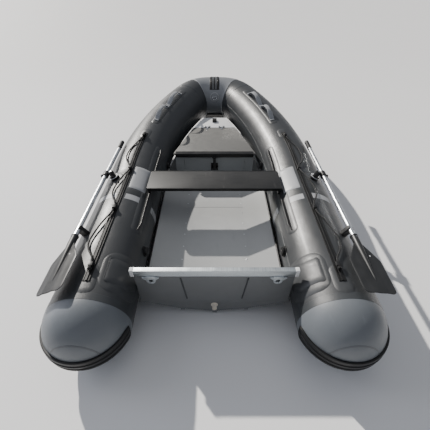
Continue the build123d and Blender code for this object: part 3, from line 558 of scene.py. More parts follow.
def flat_patch(outline, thickness, rim, cell):
    """Closed flat sheet with a sloping rim. X runs along the tube, Y across it and Z out of it."""
    sink = 0.0008
    bm = bmesh.new()
    low = [bm.verts.new((p[0], p[1], -sink)) for p in outline]
    face = bm.faces.new([bm.verts.new((p[0], p[1], thickness * 0.35)) for p in outline])
    top = list(face.verts)
    bm.normal_update()
    if face.normal.z < 0:
        face.normal_flip()
    bmesh.ops.inset_individual(bm, faces=[face], thickness=rim or thickness, depth=0.65 * thickness)
    bm.faces.new(low)
    for i in range(len(low)):
        k = (i + 1) % len(low)
        bm.faces.new((low[i], low[k], top[k], top[i]))
    cut_grid(bm, *cell)
    return bm


def slab(outline, half_thickness, rim):
    """Flat plate with both its edges sloped, centred on its own plane."""
    bm = bmesh.new()
    rings = []
    for height in (half_thickness - rim, -(half_thickness - rim)):
        rings.append([bm.verts.new((p[0], p[1], height)) for p in outline])
    count = len(outline)
    for i in range(count):
        k = (i + 1) % count
        bm.faces.new((rings[0][i], rings[0][k], rings[1][k], rings[1][i]))
    faces = [bm.faces.new(rings[0]), bm.faces.new(list(reversed(rings[1])))]
    bm.normal_update()
    for face, up in zip(faces, (1, -1)):
        if face.normal.z * up < 0:
            face.normal_flip()
    bmesh.ops.inset_individual(bm, faces=faces, thickness=rim, depth=rim)
    return bm


def add_slab(name, corners, corner_radius, half_thickness, rim, place, finish, body="root"):
    """A round-cornered plate, moved to its place."""
    bm = slab(rounded_outline(corners, corner_radius, 3), half_thickness, rim)
    bmesh.ops.transform(bm, matrix=place, verts=bm.verts)
    make_piece(name, bm, finish, body)


def merge(target, other):
    """Adds one mesh to another."""
    spare = bpy.data.meshes.new("spare")
    other.to_mesh(spare)
    other.free()
    target.from_mesh(spare)
    bpy.data.meshes.remove(spare)
    return target


def smooth_line(name, points, spacing):
    """Points at even spacing along the smooth spline that the given points control."""
    curve = bpy.data.curves.new(name, "CURVE")
    curve.dimensions = "3D"
    curve.resolution_u = 16
    spline = curve.splines.new("NURBS")
    spline.points.add(len(points) - 1)
    for control, point in zip(spline.points, points):
        control.co = (*point, 1.0)
    spline.order_u = 3
    spline.use_endpoint_u = True
    holder = bpy.data.objects.new(name, curve)
    mesh = bpy.data.meshes.new_from_object(holder)
    line = [vert.co.copy() for vert in mesh.vertices]
    bpy.data.meshes.remove(mesh)
    bpy.data.objects.remove(holder)
    bpy.data.curves.remove(curve)
    travelled = [0.0]
    for before, here in zip(line, line[1:]):
        travelled.append(travelled[-1] + (here - before).length)
    count = int(travelled[-1] / spacing)
    even, index = [], 0
    for step in range(count + 1):
        target = travelled[-1] * step / count
        while index < len(line) - 2 and travelled[index + 1] < target:
            index += 1
        share = (target - travelled[index]) / max(1e-9, travelled[index + 1] - travelled[index])
        even.append(line[index].lerp(line[index + 1], min(1.0, share)))
    return even


def follow(line, section, twist=0.0, ripple=0.0):
    """Skin that follows a line, from (angle, radius) pairs. Twist is in turns per metre, and ripple is the
    share by which every other ring swells."""
    rings, uvs = [], []
    normal = (line[1] - line[0]).orthogonal().normalized()
    travelled = 0.0
    for index, here in enumerate(line):
        ahead = line[min(index + 1, len(line) - 1)]
        behind = line[max(index - 1, 0)]
        forward = (ahead - behind).normalized()
        normal = (normal - forward * normal.dot(forward)).normalized()
        other = forward.cross(normal)
        if index:
            travelled += (here - line[index - 1]).length
        size = 1 + ripple * (index % 2)
        ring = []
        for angle, radius in section:
            turn = angle + 2 * pi * twist * travelled
            reach = radius * size
            ring.append(here + normal * (reach * cos(turn)) + other * (reach * sin(turn)))
        rings.append(ring)
        uvs.append((travelled, 2 * pi * section[0][1] * size))
    return loft_rings(rings, uvs)


def follow_loop(line, radius):
    """Round cord along a closed line."""
    around = 8
    rings = []
    count = len(line)
    for index, here in enumerate(line):
        forward = (line[(index + 1) % count] - line[index - 1]).normalized()
        normal = Vector((0, 0, 1)).cross(forward).normalized()
        other = forward.cross(normal)
        turns = [2 * pi * i / around for i in range(around)]
        rings.append([here + normal * (radius * cos(turn)) + other * (radius * sin(turn)) for turn in turns])
    return loft_rings(rings, None, True)


def bead(name, points, radius, finish, spacing, ripple=0.0, body="root"):
    """Round bead along a smooth line, with weld ripples if wanted."""
    line = [Vector(p) for p in points]
    even = []
    for before, here in zip(line, line[1:]):
        count = max(1, int((here - before).length / spacing))
        even += [before.lerp(here, i / count) for i in range(count)]
    even.append(line[-1])
    section = [(2 * pi * i / 10, radius) for i in range(10)]
    make_piece(name, follow(even, section, ripple=ripple), finish, body)


def softened(node, finish, body="root", width=0.0012, segments=2):
    """A CAD node's own shape with its hard edges rounded off. It stands for that node."""
    bm = bmesh.new()
    bm.from_mesh(frame["nodes"][node].data)
    bmesh.ops.remove_doubles(bm, verts=bm.verts, dist=1e-5)
    bmesh.ops.dissolve_limit(bm, angle_limit=radians(0.6), verts=bm.verts, edges=bm.edges)
    sharp = [e for e in bm.edges if len(e.link_faces) == 2 and e.calc_face_angle(0.0) > radians(32.0)]
    bmesh.ops.bevel(bm, geom=sharp, offset=width, segments=segments, profile=0.5, affect="EDGES",
                    clamp_overlap=True)
    make_piece(node + "_shape", bm, finish, body, [node])


def dress(node, finish):
    """A finish for a CAD node that is shown as it is."""
    mesh = frame["nodes"][node].data
    mesh.materials.clear()
    mesh.materials.append(finishes[finish])


# The air tube's own line, from the stern seam to the bow, as the frame has it

tube_low, tube_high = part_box("tube_starboard_aft")
tube_radius = (tube_high.z - tube_low.z) / 2
axis_x = (tube_high.x + tube_low.x) / 2
axis_z = (tube_high.z + tube_low.z) / 2
stern_seam_y = tube_low.y
rise_start_y = tube_high.y
rise_radius = 0.6
rise = radians(6.0)
shoulder_radius = 3.07
shoulder = radians(28.0)
bend_radius = 0.2336
s_rise = rise_start_y - stern_seam_y
s_shoulder = s_rise + rise_radius * rise
s_bend = s_shoulder + shoulder_radius * shoulder
s_nose = s_bend + bend_radius * (pi / 2 - shoulder)
bend_centre_x = axis_x - shoulder_radius + (shoulder_radius - bend_radius) * cos(shoulder)
bend_centre_along = (shoulder_radius - bend_radius) * sin(shoulder)
s_bow = s_nose + bend_centre_x
ramp_foot = Vector((0, rise_start_y + rise_radius * sin(rise), axis_z + rise_radius * (1 - cos(rise))))
ramp = Vector((0, cos(rise), sin(rise)))
outward = Vector((1, 0, 0))


def axis_frame(s):
    """Point on the starboard tube axis, with its forward and outboard directions."""
    if s <= s_rise:
        return Vector((axis_x, stern_seam_y + s, axis_z)), Vector((0, 1, 0)), outward
    if s <= s_shoulder:
        turn = (s - s_rise) / rise_radius
        y, z = rise_start_y + rise_radius * sin(turn), axis_z + rise_radius * (1 - cos(turn))
        return Vector((axis_x, y, z)), Vector((0, cos(turn), sin(turn))), outward
    if s <= s_bend:
        turn = (s - s_shoulder) / shoulder_radius
        across = axis_x - shoulder_radius * (1 - cos(turn))
        along = shoulder_radius * sin(turn)
    elif s <= s_nose:
        turn = shoulder + (s - s_bend) / bend_radius
        across = bend_centre_x + bend_radius * cos(turn)
        along = bend_centre_along + bend_radius * sin(turn)
    else:
        turn = pi / 2
        across = bend_centre_x - (s - s_nose)
        along = bend_centre_along + bend_radius
    point = ramp_foot + outward * across + ramp * along
    return point, outward * -sin(turn) + ramp * cos(turn), outward * cos(turn) + ramp * sin(turn)


def tube_point(s, angle, radius, side=1):
    """Point beside the tube, at an angle from outboard through the top.

    Past the bow it is on the other side.
    """
    if s > s_bow:
        s, side = 2 * s_bow - s, -side
    point, forward, outboard = axis_frame(s)
    up = outboard.cross(forward)
    place = point + outboard * (radius * cos(radians(angle))) + up * (radius * sin(radians(angle)))
    return Vector((place.x * side, place.y, place.z))


def wrap(bm, angle, side=1, lift=0.0):
    """Lays a flat mesh on the tube, with its middle line at that angle and its back lifted off the skin."""
    lay = bm.loops.layers.uv.verify()
    for face in bm.faces:
        for loop in face.loops:
            loop[lay].uv = (loop.vert.co.x, loop.vert.co.y)
    for vert in bm.verts:
        s, across, height = vert.co
        vert.co = tube_point(s, angle + degrees(across / tube_radius), tube_radius + lift + height, side)
    return bm


def box_outline(s_from, s_to, half_width):
    return [(s_from, -half_width), (s_to, -half_width), (s_to, half_width), (s_from, half_width)]


def strip(place, half_length, half_width):
    return box_outline(place - half_length, place + half_length, half_width)


def disc(place, radius, count):
    turns = [2 * pi * i / count for i in range(count)]
    return [(place + radius * cos(turn), radius * sin(turn)) for turn in turns]


def rim_line(outline, angle, height, side=1):
    """The outline's own line on the tube, at a height over the skin."""
    return [tube_point(s, angle + degrees(v / tube_radius), tube_radius + height, side) for s, v in outline]


def lay_patches(name, outline, angle, thickness, finish, stands_for=(), lift=0.0, cell=(0.03, 0.02)):
    """The same patch on the starboard and the port tube."""
    for side_name, side in sides:
        bm = wrap(flat_patch(outline, thickness, None, cell), angle, side, lift)
        make_piece(name + "_" + side_name, bm, finish, "root", stands_for)


# Lifelines

lifeline_points = [
    (0.5875, 0.1935, 0.4890), (0.5952, 0.1350, 0.4827), (0.6310, 0.0810, 0.4655),
    (0.6700, 0.0020, 0.4510), (0.6830, -0.0980, 0.4453), (0.6610, -0.1860, 0.4434),
    (0.6180, -0.2370, 0.4434), (0.6180, -0.2980, 0.4418), (0.6420, -0.3500, 0.4397),
    (0.6630, -0.4240, 0.4345), (0.6800, -0.5200, 0.4303), (0.6590, -0.6100, 0.4361),
    (0.6180, -0.6710, 0.4418), (0.6180, -0.7590, 0.4418), (0.6460, -0.8150, 0.4384),
    (0.6730, -0.9050, 0.4329), (0.6900, -1.0010, 0.4279), (0.6610, -1.0680, 0.4358),
    (0.6180, -1.1240, 0.4418), (0.6180, -1.1860, 0.4418),
]
rope_diameter = 0.010
knot_radius = 0.0072
knot_rope_radius = 0.0040


def rope_section(radius, sides_each=6):
    """Section of a laid rope, with its strands standing out."""
    strands, depth = 3, 0.16
    count = strands * sides_each
    pairs = []
    for step in range(count):
        angle = 2 * pi * step / count
        pairs.append((angle, radius * (1 - depth * (0.5 - 0.5 * cos(strands * angle)))))
    return pairs


def add_knot(name, place, axis):
    """Stopper knot: three snug turns of the rope about its own end."""
    across = axis.orthogonal().normalized()
    other = axis.cross(across)
    turns, steps = 3, 20
    line = []
    for step in range(turns * steps + 1):
        angle = 2 * pi * step / steps
        along = -0.006 + 0.014 * step / (turns * steps)
        line.append(place + axis * along + (across * cos(angle) + other * sin(angle)) * knot_radius)
    bm = follow(line, rope_section(knot_rope_radius, sides_each=4), twist=60.0)
    return make_piece(name, bm, "rope", "root", ["lifeline_knots"], crease=80)


def add_lifelines():
    for name, side in sides:
        points = [(x * side, y, z) for x, y, z in lifeline_points]
        line = smooth_line("lifeline_line", points, 0.0025)
        bm = follow(line, rope_section(0.54 * rope_diameter), twist=38.0)
        rope = make_piece("lifeline_rope_" + name, bm, "rope", "root", ["lifeline_" + name], crease=80)
        for end, place, neighbour in (("fore", line[0], line[6]), ("aft", line[-1], line[-7])):
            axis = (neighbour - place).normalized()
            add_knot("lifeline_knot_" + end + "_" + name, place, axis)


# Air tubes and what is glued to them

seam_places = (0.018, s_rise, s_bend - 0.05)
bow_patch_start = s_nose - bend_radius * radians(36.0)
patch_lift = 0.0021
girth = pi * tube_radius


def pucker(s, angle):
    """How far the skin draws in beside a seam, and in ripples on the inside of the bow bend."""
    inside = max(0.0, cos(radians(angle - 180.0))) ** 3
    bend = min(1.0, max(0.0, (s - s_bend + 0.12) / 0.15))
    ripple = 0.5 + 0.5 * sin(2 * pi * s / 0.042 + 2.2 * sin(9.0 * s))
    seams = sum(exp(-(((s - seam) / 0.02) ** 2)) for seam in seam_places)
    return 0.0016 * inside * bend * ripple + 0.0009 * seams


def add_air_tube(part, side_name, side, s_from, s_to):
    around, ring_spacing = 80, 0.018
    angles = [360.0 * i / around for i in range(around)]
    count = int((s_to - s_from) / ring_spacing)
    rings, uvs = [], []
    for step in range(count + 1):
        s = s_from + (s_to - s_from) * step / count
        rings.append([tube_point(s, angle, tube_radius - pucker(s, angle), side) for angle in angles])
        uvs.append((s, 2 * pi * tube_radius))
    name = "tube_" + side_name + "_" + part
    make_piece("air_" + name, loft_rings(rings, uvs), "tube", "root", [name])


def ball_profile(angle_from, angle_to, radius, steps):
    """Arc of (distance along, radius) points on the stern ball, by angle from its seam."""
    points = []
    for step in range(steps + 1):
        angle = radians(angle_from + (angle_to - angle_from) * step / steps)
        points.append((radius * sin(angle), radius * cos(angle)))
    return points


def add_stern_cone(side_name, side):
    centre = (axis_x * side, stern_seam_y, axis_z)
    cap_seam = 56.0
    profile = []
    for along, radius in ball_profile(0, 89.5, tube_radius, 60):
        angle = degrees(atan2(along, radius))
        draw_in = 0.0008 * exp(-(((angle - cap_seam) / 3.0) ** 2))
        profile.append((along, radius - draw_in))
    ball = turned(profile, centre, (0, -1, 0), segments=80)
    make_piece("cone_" + side_name, ball, "cone", "root", ["stern_cone_" + side_name])
    over = ball_profile(cap_seam - 0.9, cap_seam + 0.9, tube_radius + 0.0008, 4)
    under = ball_profile(cap_seam + 1.2, cap_seam - 1.2, tube_radius - 0.0008, 4)
    tape = turned(over + under, centre, (0, -1, 0), segments=80, closed=True)
    make_piece("cone_cap_seam_" + side_name, tape, "cone_seam", "root")


def add_seams():
    names = ("stern_seam", "middle_seam", "shoulder_seam")
    for name, place in zip(names, seam_places):
        lay_patches(name, strip(place, 0.018, girth), 90, 0.0009, "seam", cell=(0.02, 0.02))
    for name, angle in (("inner_seam", 166.0), ("outer_seam", -34.0)):
        lay_patches(name, box_outline(0.036, bow_patch_start, 0.013), angle, 0.0007, "seam")


def add_bow():
    start = bow_patch_start
    edge = [(start, -girth), (start, 0.05), (start - 0.03, 0.20), (start - 0.10, 0.36), (start - 0.10, girth)]
    outline = edge + [(2 * s_bow - s, across) for s, across in reversed(edge)]
    bm = wrap(flat_patch(outline, 0.0015, None, (0.012, 0.016)), 90, 1, 0.0003)
    make_piece("bow_patch_skin", bm, "bow", "root", ["bow_patch"])
    tape = [(s - 0.005, across) for s, across in edge] + [(s + 0.004, across) for s, across in reversed(edge)]
    lay_patches("bow_patch_edge", tape, 90, 0.0024, "pale_seam", cell=(0, 0.014))

    chafe_angle, ring_angle, apron_angle = 77, 154, 226
    chafe = flat_patch(strip(s_bow, 0.052, 0.210), 0.0025, None, (0.02, 0.014))
    for place in (s_bow - 0.034, s_bow + 0.034):
        rib = rounded_outline(strip(place, 0.008, 0.208), 0.004, 3)
        merge(chafe, flat_patch(rib, 0.0050, 0.003, (0, 0.014)))
    bm = wrap(chafe, chafe_angle, 1, patch_lift)
    make_piece("chafe_strip_moulding", bm, "rubber", "root", ["chafe_strip"])
    for name, place in (("port", s_bow + 0.016), ("starboard", s_bow - 0.016)):
        inlay = flat_patch(strip(place, 0.010, 0.206), 0.0036, 0.001, (0, 0.014))
        make_piece("chafe_inlay_" + name, wrap(inlay, chafe_angle, 1, patch_lift), "patch")
        # Thin pale lines along the chafe strip: painted highlights for the lit edges of its ribs.
        line = flat_patch(strip(place, 0.0015, 0.206), 0.0046, 0.0006, (0, 0.014))
        make_piece("chafe_painted_highlight_" + name, wrap(line, chafe_angle, 1, patch_lift), "pale_panel")

    softened("ring_patch", "pale_seam", width=0.0006)
    rim = disc(s_bow, 0.043, 40)
    bm = wrap(flat_patch(rim, 0.0024, 0.002, (0.02, 0.02)), ring_angle, 1, patch_lift)
    make_piece("ring_patch_layer", bm, "bow")
    bm = follow_loop(rim_line(rim, ring_angle, patch_lift + 0.002), 0.0030)
    make_piece("ring_patch_piping", bm, "pale_panel")
    dress("bow_d_ring", "steel")

    half = 0.18
    apron = rounded_outline(strip(s_bow, half, 0.078), 0.008, 3)
    block = flat_patch(apron, 0.005, 0.003, (0.012, 0.012))
    for across in (-0.042, 0.036):
        rib = [(s, v + across) for s, v in strip(s_bow, half - 0.01, 0.024)]
        merge(block, flat_patch(rib, 0.013, 0.006, (0.012, 0.012)))
    make_piece("bow_apron", wrap(block, apron_angle, 1, patch_lift), "rubber")
    spot = Matrix.Translation((0, 0.75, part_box("foredeck")[1].z + 0.011))
    add_slab("foredeck_stop", strip(0, 0.022, 0.03), 0.006, 0.012, 0.003, spot, "rubber")


def strake_point(t, across, height, side):
    """Point on the strake's line: along the tube ahead of the seam, round the stern ball behind it."""
    angle = across / tube_radius
    reach = tube_radius + height
    if t >= 0:
        return tube_point(t, degrees(angle), reach, side)
    turn = -t / tube_radius
    x = axis_x + reach * cos(angle) * cos(turn)
    y = stern_seam_y - reach * cos(angle) * sin(turn)
    return Vector((x * side, y, axis_z + reach * sin(angle)))


def strake_section():
    """(across, height) points of the strake: a base with three round-shouldered ribs, then its back."""
    back, base, crown, half = 0.0006, 0.0071, 0.0111, 0.037
    shoulder_height = base - 0.0012
    points = [(-half, back), (-half, shoulder_height)]
    for middle in (-0.029, 0.0, 0.029):
        points += [(middle - 0.0078, base), (middle - 0.0066, crown - 0.0008), (middle - 0.0048, crown)]
        points += [(middle + 0.0048, crown), (middle + 0.0066, crown - 0.0008), (middle + 0.0078, base)]
    points += [(half, shoulder_height), (half, back), (0.02, back), (0.0, back), (-0.02, back)]
    return points


def add_rub_strake():
    section = strake_section()
    back = section[0][1]
    end = -tube_radius * radians(171.0)
    run_out = 0.03
    for side_name, side in sides:
        stops = []
        t = end
        while t < s_bow:
            stops.append(t)
            t += 0.004 if t < end + run_out else 0.016
        stops.append(s_bow)
        rings, uvs = [], []
        for t in stops:
            taper = min(1.0, max(0.02, (t - end) / run_out)) ** 0.5
            width = 0.7 + 0.3 * taper
            rings.append([strake_point(t, v * width, back + (h - back) * taper, side) for v, h in section])
            uvs.append((t, 0.11))
        name = "rub_strake_" + side_name
        make_piece(name, loft_rings(rings, uvs), "rubber", "root", ["rub_strake"], crease=35)


def add_lifeline_rails():
    rail_angle, start, end = 93.0, 0.095, 1.600
    for side_name, side in sides:
        rail = flat_patch(box_outline(start, end, 0.0178), 0.004, 0.0015, (0.03, 0))
        ribs = ((0.0, 0.0045, 0.008), (-0.0135, 0.0022, 0.0058), (0.0135, 0.0022, 0.0058))
        for middle, half, height in ribs:
            rib = [(s, v + middle) for s, v in box_outline(start + 0.002, end - 0.002, half)]
            merge(rail, flat_patch(rib, height, 0.0012, (0.03, 0)))
        make_piece("lifeline_rail_" + side_name, wrap(rail, rail_angle, side, 0.0003), "rubber", "root",
                   ["lifeline_rails"], crease=35)
    for name, box, corner in (("aft", (0.028, 0.20, 0.048), 0.046), ("fore", (1.53, 1.665, 0.040), 0.038)):
        outline = rounded_outline(box_outline(*box), corner, 8)
        lay_patches("rail_end_patch_" + name, outline, rail_angle, 0.0009, "tube")
    softened("fairleads", "plastic", width=0.0025, segments=3)


def add_panels():
    """Inlaid colour panels: a pale field, then a dark and a pale stripe, down both shoulders of the tube."""
    thickness = 0.0007
    spans = (("inner", 102.0, 134.0, 0.012), ("outer", 50.0, 86.0, 0.012), ("cockpit", 156.0, 200.0, 0.0))
    for name, low, high, overhang in spans:
        middle, half = (low + high) / 2, radians(high - low) / 2 * tube_radius
        if name == "inner":
            outline = rounded_outline(box_outline(0.865, 1.145, half), 0.006)
            lay_patches("pale_field", outline, middle, thickness, "pale_panel", lift=0.0006)
        dark, pale = box_outline(0.806, 0.850, half + overhang), box_outline(0.744, 0.796, half)
        lay_patches("dark_stripe_" + name, dark, middle, thickness, "dark_panel")
        lay_patches("pale_stripe_" + name, pale, middle, thickness, "pale_panel")


def add_handles():
    handle_angle, seat, loop_rise = 98.0, 0.0021, 0.055
    outline = rounded_outline(box_outline(1.770, 2.470, 0.035), 0.03, 6)
    lay_patches("handle_patch", outline, handle_angle, 0.0011, "tube", ["handle_patches"])
    steps = 28
    for side_name, side in sides:
        for number, (s_from, s_to) in enumerate(((1.840, 2.080), (2.125, 2.368)), 1):
            rings, uvs = [], []
            for step in range(steps + 1):
                share = step / steps
                swell = sin(pi * share)
                s = s_from + (s_to - s_from) * share
                height = seat + 0.003 + loop_rise * swell ** 0.8
                slope = loop_rise * pi * cos(pi * share) / (s_to - s_from)
                lean = atan2(slope, 1.0)
                grip = min(1.0, max(0.0, (swell - 0.55) / 0.3))
                half_width, half_thick = 0.019 - 0.006 * grip, 0.0014 + 0.0042 * grip
                ring = []
                for i in range(20):
                    turn = 2 * pi * i / 20
                    across = half_width * copysign(abs(cos(turn)) ** 0.7, cos(turn))
                    out = half_thick * copysign(abs(sin(turn)) ** 0.7, sin(turn))
                    ring.append((s - out * sin(lean), across, height + out * cos(lean)))
                rings.append(ring)
                uvs.append((s, 0.09))
            loop = loft_rings(rings, uvs)
            for foot in (s_from, s_to):
                pad = rounded_outline(strip(foot, 0.020, 0.019), 0.003, 2)
                merge(loop, flat_patch(pad, 0.006, 0.0012, (0.02, 0.01)))
            bm = wrap(loop, handle_angle, side, 0.0018)
            name = f"handle_loop_{side_name}_{number}"
            make_piece(name, bm, "webbing", "root", ["handle_loops"])


def local_point(s, x, y, side):
    """Point in the plane across the tube: x outboard and y up from its axis."""
    point, forward, outboard = axis_frame(s)
    place = point + outboard * x + outboard.cross(forward) * y
    return Vector((place.x * side, place.y, place.z))


def add_seat_tracks():
    """Sewn pads with a fin that holds the bolt rope, which the thwart's brackets run on."""
    angle, start, end = 138.0, 0.520, 1.465
    outline = rounded_outline(box_outline(start - 0.03, end + 0.03, 0.040), 0.036, 8)
    lay_patches("track_pad", outline, angle, 0.0009, "tube")
    root_x = (tube_radius + 0.0008) * cos(radians(angle))
    root_y = (tube_radius + 0.0008) * sin(radians(angle))
    reach, web, bead, run_out = 0.015, 0.0008, 0.004, 0.05
    for side_name, side in sides:
        rings, uvs = [], []
        count = 60
        for step in range(count + 1):
            s = start + (end - start) * step / count
            taper = min(1.0, min(s - start, end - s) / run_out + 0.15)
            tip_x = root_x - reach * taper
            ring = [(root_x + 0.004, root_y + 3 * web), (root_x, root_y + web), (tip_x + bead, root_y + web)]
            for i in range(1, 12):
                turn = pi * i / 6
                ring.append((tip_x + bead * cos(turn), root_y + bead * sin(turn)))
            ring += [(tip_x + bead, root_y - web), (root_x, root_y - web), (root_x + 0.004, root_y - 3 * web)]
            rings.append([local_point(s, x, y, side) for x, y in ring])
            uvs.append((s, 0.06))
        make_piece("seat_track_" + side_name, loft_rings(rings, uvs), "rubber", "root", ["seat_tracks"])


def add_transom_patches():
    """Two layers of reinforcement where the transom meets the tube."""
    angle = 140
    outer = rounded_outline(box_outline(0.062, 0.300, 0.128), 0.075, 10)
    lay_patches("transom_patch_under", outer, angle, 0.0010, "tube")
    corners = [(0.112, -0.100), (0.258, -0.100), (0.258, 0.050)]
    corners += [(0.222, 0.100), (0.148, 0.100), (0.112, 0.050)]
    inner = rounded_outline(corners, 0.014, 5)
    lay_patches("transom_patch", inner, angle, 0.0022, "tube", ["transom_patches"], lift=0.0005)
    for side_name, side in sides:
        bm = follow_loop(rim_line(inner, angle, 0.0028, side), 0.0013)
        make_piece("transom_patch_piping_" + side_name, bm, "patch")


# Hull, transom and deck

def add_hull():
    softened("hull_shell", "plate", width=0.0008)
    softened("hull_strakes", "plate", width=0.003, segments=3)
    softened("deck_plate", "deck", width=0.0008)
    deck_low, deck_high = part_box("deck_plate")
    fold_x, fold_z, joint_y, seal_end_y, rivet_pitch = 0.225, 0.1200, -0.335, 0.114, 0.115
    dome = [(0.0, 0.0045), (0.0008, 0.0045), (0.0016, 0.003), (0.0019, 0.0004)]
    for name, side in sides:
        x, z = deck_high.x * side, deck_high.z + 0.001
        bead("deck_edge_seal_" + name, [(x, deck_low.y + 0.004, z), (x, seal_end_y, z)], 0.006, "rubber", 0.2)
        rivets = bmesh.new()
        y = deck_low.y + 0.06
        while y < 0.10:
            merge(rivets, turned(dome, (fold_x * side - 0.014 * side, y, fold_z - 0.0002), (0, 0, 1), 12))
            y += rivet_pitch
        make_piece("deck_rivets_" + name, rivets, "aluminium")
    bead("deck_joint", [(-fold_x, joint_y, fold_z), (fold_x, joint_y, fold_z)], 0.0016, "deck", 0.1)


def add_transom():
    softened("transom_plate", "plate", width=0.002, segments=3)
    softened("transom_rail", "rail", width=0.003, segments=3)
    softened("drain_spout", "spout", width=0.001)
    face_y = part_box("transom_plate")[0].y
    rail_low, rail_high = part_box("transom_rail")
    rail_y = (rail_low.y + rail_high.y) / 2
    quarter_x, quarter_y, quarter_z = (Matrix.Rotation(radians(90), 4, axis) for axis in "XYZ")
    flare = [(-0.050, 0.012), (-0.022, -0.016), (-0.014, -0.004)]
    flare += [(-x, z) for x, z in reversed(flare)]
    towing_eye_x, towing_eye_rise = 0.330, 0.041
    for name, side in sides:
        # The press lines are beads in the dark seam-tape finish: painted shade in the creases of the transom
        # plate.
        press_line = [(0.177 * side, face_y, 0.345), (0.155 * side, face_y, 0.155)]
        bead("transom_press_painted_shade_" + name, press_line, 0.0045, "seam", 0.2)
        place = Matrix.Translation((rail_high.x * side - 0.004 * side, rail_y + 0.004, rail_high.z - 0.022))
        place = place @ quarter_y @ quarter_z
        add_slab("transom_rail_cap_" + name, strip(0, 0.014, 0.024), 0.004, 0.010, 0.0015, place, "foredeck")
        place = Matrix.Translation((towing_eye_x * side, rail_low.y + 0.0036, rail_low.z + towing_eye_rise))
        add_slab("towing_eye_gusset_" + name, flare, 0.004, 0.0034, 0.001, place @ quarter_x, "rail")
    chine = [(-0.405, 0.118), (-0.187, 0.052), (0.0, 0.022), (0.187, 0.052), (0.405, 0.118)]
    bead("transom_weld", [(x, face_y + 0.001, z) for x, z in chine], 0.0024, "plate", 0.006, 0.45)


# Thwart and locker

def add_thwart():
    softened("thwart_board", "board", "thwart", 0.003, 3)
    softened("thwart_brackets", "plastic", "thwart", 0.0012)
    low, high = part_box("thwart_board")
    middle_z = (low.z + high.z) / 2
    half = (high.z - low.z) / 2 + 0.0008
    section = [(0.004, half - 0.002), (0.002, half), (-0.003, half)]
    section += [(a, -b) for a, b in reversed(section)]
    for name, y, out in (("aft", low.y, -1), ("fore", high.y, 1)):
        ends = (low.x + 0.02, high.x - 0.02)
        rings = [[Vector((x, y + out * a, middle_z + b)) for a, b in section] for x in ends]
        make_piece("thwart_edge_" + name, loft_rings(rings), "rubber", "thwart", crease=30)


def add_locker():
    softened("locker_tub", "locker", width=0.002, segments=3)
    softened("foredeck", "foredeck", width=0.001)
    softened("locker_lid", "lid", "lid", 0.0014, 3)
    softened("lid_trim", "rubber", "lid", 0.0025, 3)
    softened("latch_strap", "rubber", "latch", 0.0015, 3)
    softened("latch_cradle", "rubber", width=0.0015, segments=3)
    softened("hinge_fixed_leaves", "steel", width=0.0005)
    softened("hinge_lid_leaves", "steel", "lid", 0.0005)
    front_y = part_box("locker_tub")[0].y
    outline = rounded_outline([(-0.262, 0.150), (0.262, 0.150), (0.262, 0.294), (-0.262, 0.294)], 0.030, 7)
    line = [Vector((x, front_y, z)) for x, z in outline]
    make_piece("locker_press_line", follow_loop(line, 0.0032), "locker")
    trim_low, trim_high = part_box("lid_trim")
    place = Matrix.Translation((0, trim_high.y + 0.006, trim_high.z + 0.0016))
    lip = box_outline(trim_low.x, trim_high.x, 0.022)
    add_slab("lid_trim_lip", lip, 0.006, 0.0026, 0.0016, place, "rubber", "lid")
    rib_y = trim_high.y - 0.0162
    for z in (trim_high.z - 0.006, trim_high.z - 0.014):
        run = [(trim_low.x + 0.012, rib_y, z), (trim_high.x - 0.012, rib_y, z)]
        bead(f"lid_trim_rib_{1000 * z:.0f}", run, 0.0016, "rubber", 0.5, body="lid")
    screws = bmesh.new()
    hinge_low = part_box("hinge_fixed_leaves")[0]
    head = [(0.0, 0.0028), (0.0010, 0.0026), (0.0014, 0.0012)]
    for x in (-0.090, -0.050, 0.050, 0.090):
        for y in (hinge_low.y + 0.018, hinge_low.y + 0.032):
            merge(screws, turned(head, (x, y, hinge_low.z + 0.002), (0, 0, 1), 12))
    make_piece("hinge_screws", screws, "steel")


def add_valves():
    softened("valve_bodies", "plastic", width=0.0008)
    valve_angle = 196
    for name, s in (("aft", 0.235), ("fore", 1.335)):
        pad = flat_patch(disc(s, 0.017, 24), 0.0015, 0.001, (0.01, 0.01))
        make_piece("valve_label_pad_" + name, wrap(pad, valve_angle), "pale_panel")
    for name, _ in sides:
        for end in ("aft", "fore"):
            softened(f"valve_cap_{name}_{end}", "plastic", f"cap_{name}_{end}", 0.0012, 3)


# Oars

oarlock_s = -0.360 - stern_seam_y
oarlock_angle = 68
shaft_joint_y = -0.6915
ferrule_fore_y = -0.966
ferrule_length = 0.062
blade_length = 0.300
blade_half_width = 0.0855
blade_rolls = {"starboard": 8.0, "port": 26.0}


def hinge_of(name):
    joint = next(j for j in frame["joints"] if j["name"] == name)
    return Vector(joint["pos_m"]), Vector(joint["axis"])


